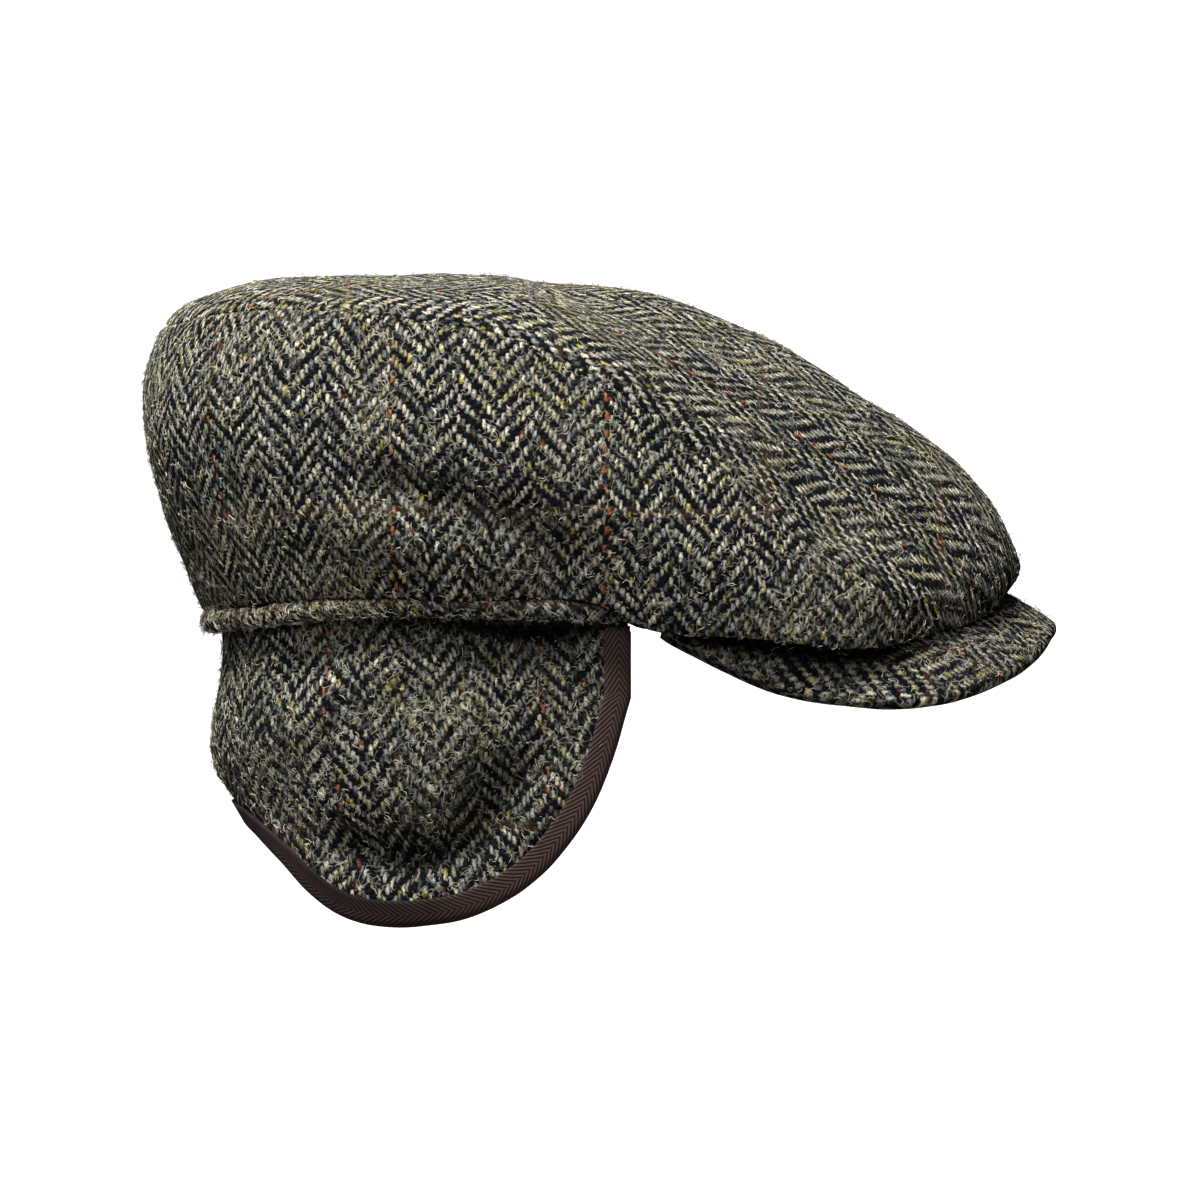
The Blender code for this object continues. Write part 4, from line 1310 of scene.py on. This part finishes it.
def tape_finish():
    """Cotton twill tape, dark brown, woven in one chevron: fine slanting ribs that meet along its middle."""
    c = cloth()
    finish, tree, _ = new_finish("Cotton_twill_tape", 0.85, 0.03)
    spot = add(tree, "TexCoord").outputs["Object"]
    flat = add(tree, "SeparateXYZ", add(tree, "UVMap", uv_map="cloth"))
    painted_shade_hollows = add(tree, "Attribute", attribute_name="painted_shade").outputs["Fac"]
    away = add(tree, "Math ABSOLUTE", add(tree, "Math SUBTRACT", flat.outputs[1], TAPE_CHEVRON_MIDDLE))
    course = add(tree, "Math ADD", flat.outputs[0], add(tree, "Math MULTIPLY", away, TAPE_RIB_SLANT))
    wander = add(tree, "Math MULTIPLY", add(tree, "TexNoise", spot, 300.0, 2.0), 0.0006)
    course = add(tree, "Math ADD", course, wander)
    wave = add(tree, "Math SINE", add(tree, "Math MULTIPLY", course, math.tau / TAPE_RIB_SPACING))
    rib = add(tree, "MapRange", wave, -1.0, 0.5, 0.0, 1.0, interpolation_type="SMOOTHSTEP")
    between = tuple(v * 0.16 for v in c.tape_brown)
    grain = add(tree, "TexNoise", spot, 1500.0, 2.0)
    tone = add(tree, "Mix RGBA", rib, opaque(between), opaque(c.tape_brown))
    tone = add(tree, "Mix RGBA", add(tree, "Math MULTIPLY", grain, 0.55), tone, opaque(linear("2b211e")))
    # Painted shade: the marked hollows along the tape are painted near-black
    tone = add(tree, "Mix RGBA", painted_shade_hollows, tone, opaque(linear("0a0706")))
    relief = add(tree, "Math ADD", rib, add(tree, "Math MULTIPLY", grain, 0.25))
    surface(tree, tone, relief, 0.8, 0.0003)
    return finish


def lining_finish():
    """Brushed cotton lining, navy black: a close plain weave with a faint soft sheen."""
    finish, tree, _ = new_finish("Cotton_lining_brushed", 0.75, 0.3)
    spot = add(tree, "TexCoord").outputs["Object"]
    flat = add(tree, "UVMap", uv_map="cloth")
    weave = add(tree, "TexWave", flat, 420.0, 1.5, wave_type="BANDS", bands_direction="DIAGONAL")
    cloudy = add(tree, "TexNoise", spot, 60.0, 3.0)
    tone = add(tree, "Mix RGBA", cloudy, opaque(linear("0f1118")), opaque(cloth().lining_navy))
    surface(tree, tone, weave.outputs["Fac"], 0.4, 0.0002)
    return finish


def finish_named(name, make):
    """A material made once."""
    return bpy.data.materials.get(name) or make()


def tweed_for(name, shift, painted_light_level=1.0):
    """The tweed of one piece: how far its overcheck is shifted, and how bright its yarn is painted, 1 on the
    crown and lower as painted shade on pieces that lie in more shade.
    """
    return finish_named(name, lambda: tweed_finish(name, shift, painted_light_level))


class CAP_OT_crown(bpy.types.Operator):
    """Build the crown's top and side panels"""

    bl_idname = "cap.crown"
    bl_label = "Crown"

    def execute(self, context):
        _, face = make_top_panel(tweed_for("Wool_tweed_herringbone_top", shift=0.004))
        make_fibres("crown_top_fibres", face, share=1.0, seed=31, painted_shade_hollows=CROWN_PAINTED_SHADE)
        _, face = make_side_panel(tweed_for("Wool_tweed_herringbone_side", shift=0.0014))
        make_fibres("crown_side_fibres", face, share=1.0, seed=32, painted_shade_hollows=CROWN_PAINTED_SHADE)
        return {"FINISHED"}


class CAP_OT_roll(bpy.types.Operator):
    """Build the rolled hem round the rim"""

    bl_idname = "cap.roll"
    bl_label = "Rolled hem"

    def execute(self, context):
        # The roll's tweed is painted darker, as painted shade
        _, face = make_roll(tweed_for("Wool_tweed_herringbone_roll_painted_shade", shift=0.006, painted_light_level=0.88))
        make_fibres("rolled_edge_fibres", face, share=0.4, seed=33)
        return {"FINISHED"}


class CAP_OT_peak(bpy.types.Operator):
    """Build the tweed-covered peak"""

    bl_idname = "cap.peak"
    bl_label = "Peak"

    def execute(self, context):
        # The peak's tweed is painted darker, as painted shade under the crown
        _, face = make_peak(tweed_for("Wool_tweed_herringbone_peak_painted_shade", shift=0.0065, painted_light_level=0.68))
        make_fibres("peak_fibres", face, share=0.5, seed=34, painted_shade_hollows=PEAK_PAINTED_SHADE)
        return {"FINISHED"}


class CAP_OT_flap(bpy.types.Operator):
    """Build the ear and neck flap, its lining and its tape"""

    bl_idname = "cap.flap"
    bl_label = "Flap, lining and tape"

    def execute(self, context):
        s = sizes()
        # The flap's tweed is painted darker, as painted shade
        tweed = tweed_for("Wool_tweed_herringbone_flap_painted_shade", shift=-0.0125, painted_light_level=0.76)
        flap, face, covered = make_flap_layer(
            "flap_cloth", "ear_flap", tweed, 0.0, s.tweed, FLAP_ROWS
        )
        brushed = finish_named("Cotton_lining_brushed", lining_finish)
        inside, _, _ = make_flap_layer(
            "flap_inside", "flap_lining", brushed, s.tweed + GAP, s.lining, LINING_ROWS
        )
        tape = make_tape(finish_named("Cotton_twill_tape", tape_finish))
        make_fibres("flap_fibres", face, share=0.9, seed=35, painted_shade_hollows=FLAP_PAINTED_SHADE, covered=covered)
        return {"FINISHED"}


class CAP_OT_stage(bpy.types.Operator):
    """Build the pale floor and wall, the lights and the camera"""

    bl_idname = "cap.stage"
    bl_label = "Stage"

    def execute(self, context):
        make_stage()
        return {"FINISHED"}


class CAP_PT_panel(bpy.types.Panel):
    """Lists the steps that build the cap"""

    bl_idname = "CAP_PT_panel"
    bl_label = "Tweed flat cap"
    bl_space_type = "VIEW_3D"
    bl_region_type = "UI"
    bl_category = "Cap"

    def draw(self, context):
        for operator in OPERATORS:
            self.layout.operator(operator.bl_idname)
        for group in (context.scene.cap_sizes, context.scene.cap_cloth):
            column = self.layout.column()
            for name in group.__annotations__:
                column.prop(group, name)


OPERATORS = (CAP_OT_crown, CAP_OT_roll, CAP_OT_peak, CAP_OT_flap, CAP_OT_stage)
CLASSES = (CapSizes, CapCloth) + OPERATORS + (CAP_PT_panel,)


# Stage

# Room round the cap
ROOM_RADIUS = 3.0
WALL_HEIGHT = 4.0
FLOOR_LEVEL = -0.35

# Name; place; side in metres; power in watts
LIGHTS = (
    ("key_light", (-0.80, 0.50, 1.90), 0.6, 99.0),
    ("fill_light", (-1.75, 0.30, 0.90), 0.8, 20.0),
    ("back_light", (1.0, 0.3, 1.6), 1.0, 14.0),
)

# Camera on the wearer's right, a little below the rim: lens in mm; place; what it looks at
CAMERA_LENS = 141.75
CAMERA_PLACE = (-1.5, -0.038, -0.02)
CAMERA_TARGET = (0, -0.0253, 0.0068)


def aim(thing, target):
    """Turns a light or camera towards a point."""
    way = Vector(target) - thing.location
    thing.rotation_euler = way.to_track_quat("-Z", "Y").to_euler()


def make_stage():
    """Pale floor, a pale wall round it, soft lights and the camera at the photograph's angle."""
    deselect_all()
    bpy.ops.mesh.primitive_circle_add(
        vertices=96, radius=ROOM_RADIUS, fill_type="NGON", location=(0, 0, FLOOR_LEVEL)
    )
    floor = bpy.context.object
    floor.name = "stage_floor"
    bpy.ops.mesh.primitive_cylinder_add(
        vertices=96,
        radius=ROOM_RADIUS,
        depth=WALL_HEIGHT,
        end_fill_type="NOTHING",
        location=(0, 0, FLOOR_LEVEL + WALL_HEIGHT / 2),
    )
    wall = bpy.context.object
    wall.name = "stage_wall"
    for piece, glow in ((floor, 0.80), (wall, 0.99)):
        paper, _, shader = new_finish("Paper_white_matt_" + piece.name, 0.95, 0.0)
        shader.inputs["Base Color"].default_value = opaque(linear("f4f4f2"))
        shader.inputs["Emission Color"].default_value = (1.0, 1.0, 1.0, 1.0)
        shader.inputs["Emission Strength"].default_value = glow
        piece.data.materials.append(paper)
        piece.visible_diffuse = False
        piece.visible_glossy = False
    wall.visible_shadow = False

    world = bpy.data.worlds.new("soft_white_room")
    world.use_nodes = True
    tree = world.node_tree
    sky = add(tree, "SeparateXYZ", add(tree, "TexCoord").outputs["Normal"])
    strength = add(tree, "MapRange", sky.outputs[2], -0.1, 0.9, 0.015, 0.38)
    tree.links.new(strength.outputs[0], tree.nodes["Background"].inputs["Strength"])
    tree.nodes["Background"].inputs["Color"].default_value = (1.0, 1.0, 1.0, 1.0)
    bpy.context.scene.world = world
    bpy.context.scene.view_settings.view_transform = "Standard"
    for name, where, size, power in LIGHTS:
        lamp = bpy.data.lights.new(name, "AREA")
        lamp.size = size
        lamp.energy = power
        holder = bpy.data.objects.new(name, lamp)
        holder.location = where
        bpy.context.scene.collection.objects.link(holder)
        aim(holder, (0, 0, 0))

    eye = bpy.data.cameras.new("camera")
    eye.lens = CAMERA_LENS
    eye.sensor_width = 36.0
    eye.clip_start = 0.01
    eye.clip_end = 50.0
    holder = bpy.data.objects.new("camera", eye)
    holder.location = CAMERA_PLACE
    bpy.context.scene.collection.objects.link(holder)
    aim(holder, CAMERA_TARGET)
    bpy.context.scene.camera = holder


def register():
    """Registers the classes and their properties."""
    for item in CLASSES:
        bpy.utils.register_class(item)
    bpy.types.Scene.cap_sizes = PointerProperty(type=CapSizes)
    bpy.types.Scene.cap_cloth = PointerProperty(type=CapCloth)


def unregister():
    """Removes the properties and the classes."""
    del bpy.types.Scene.cap_cloth
    del bpy.types.Scene.cap_sizes
    for item in reversed(CLASSES):
        bpy.utils.unregister_class(item)


def main():
    """Builds the cap and its stage."""
    register()
    bpy.ops.cap.crown()
    bpy.ops.cap.roll()
    bpy.ops.cap.peak()
    bpy.ops.cap.flap()
    bpy.ops.cap.stage()


if __name__ == "__main__":
    main()
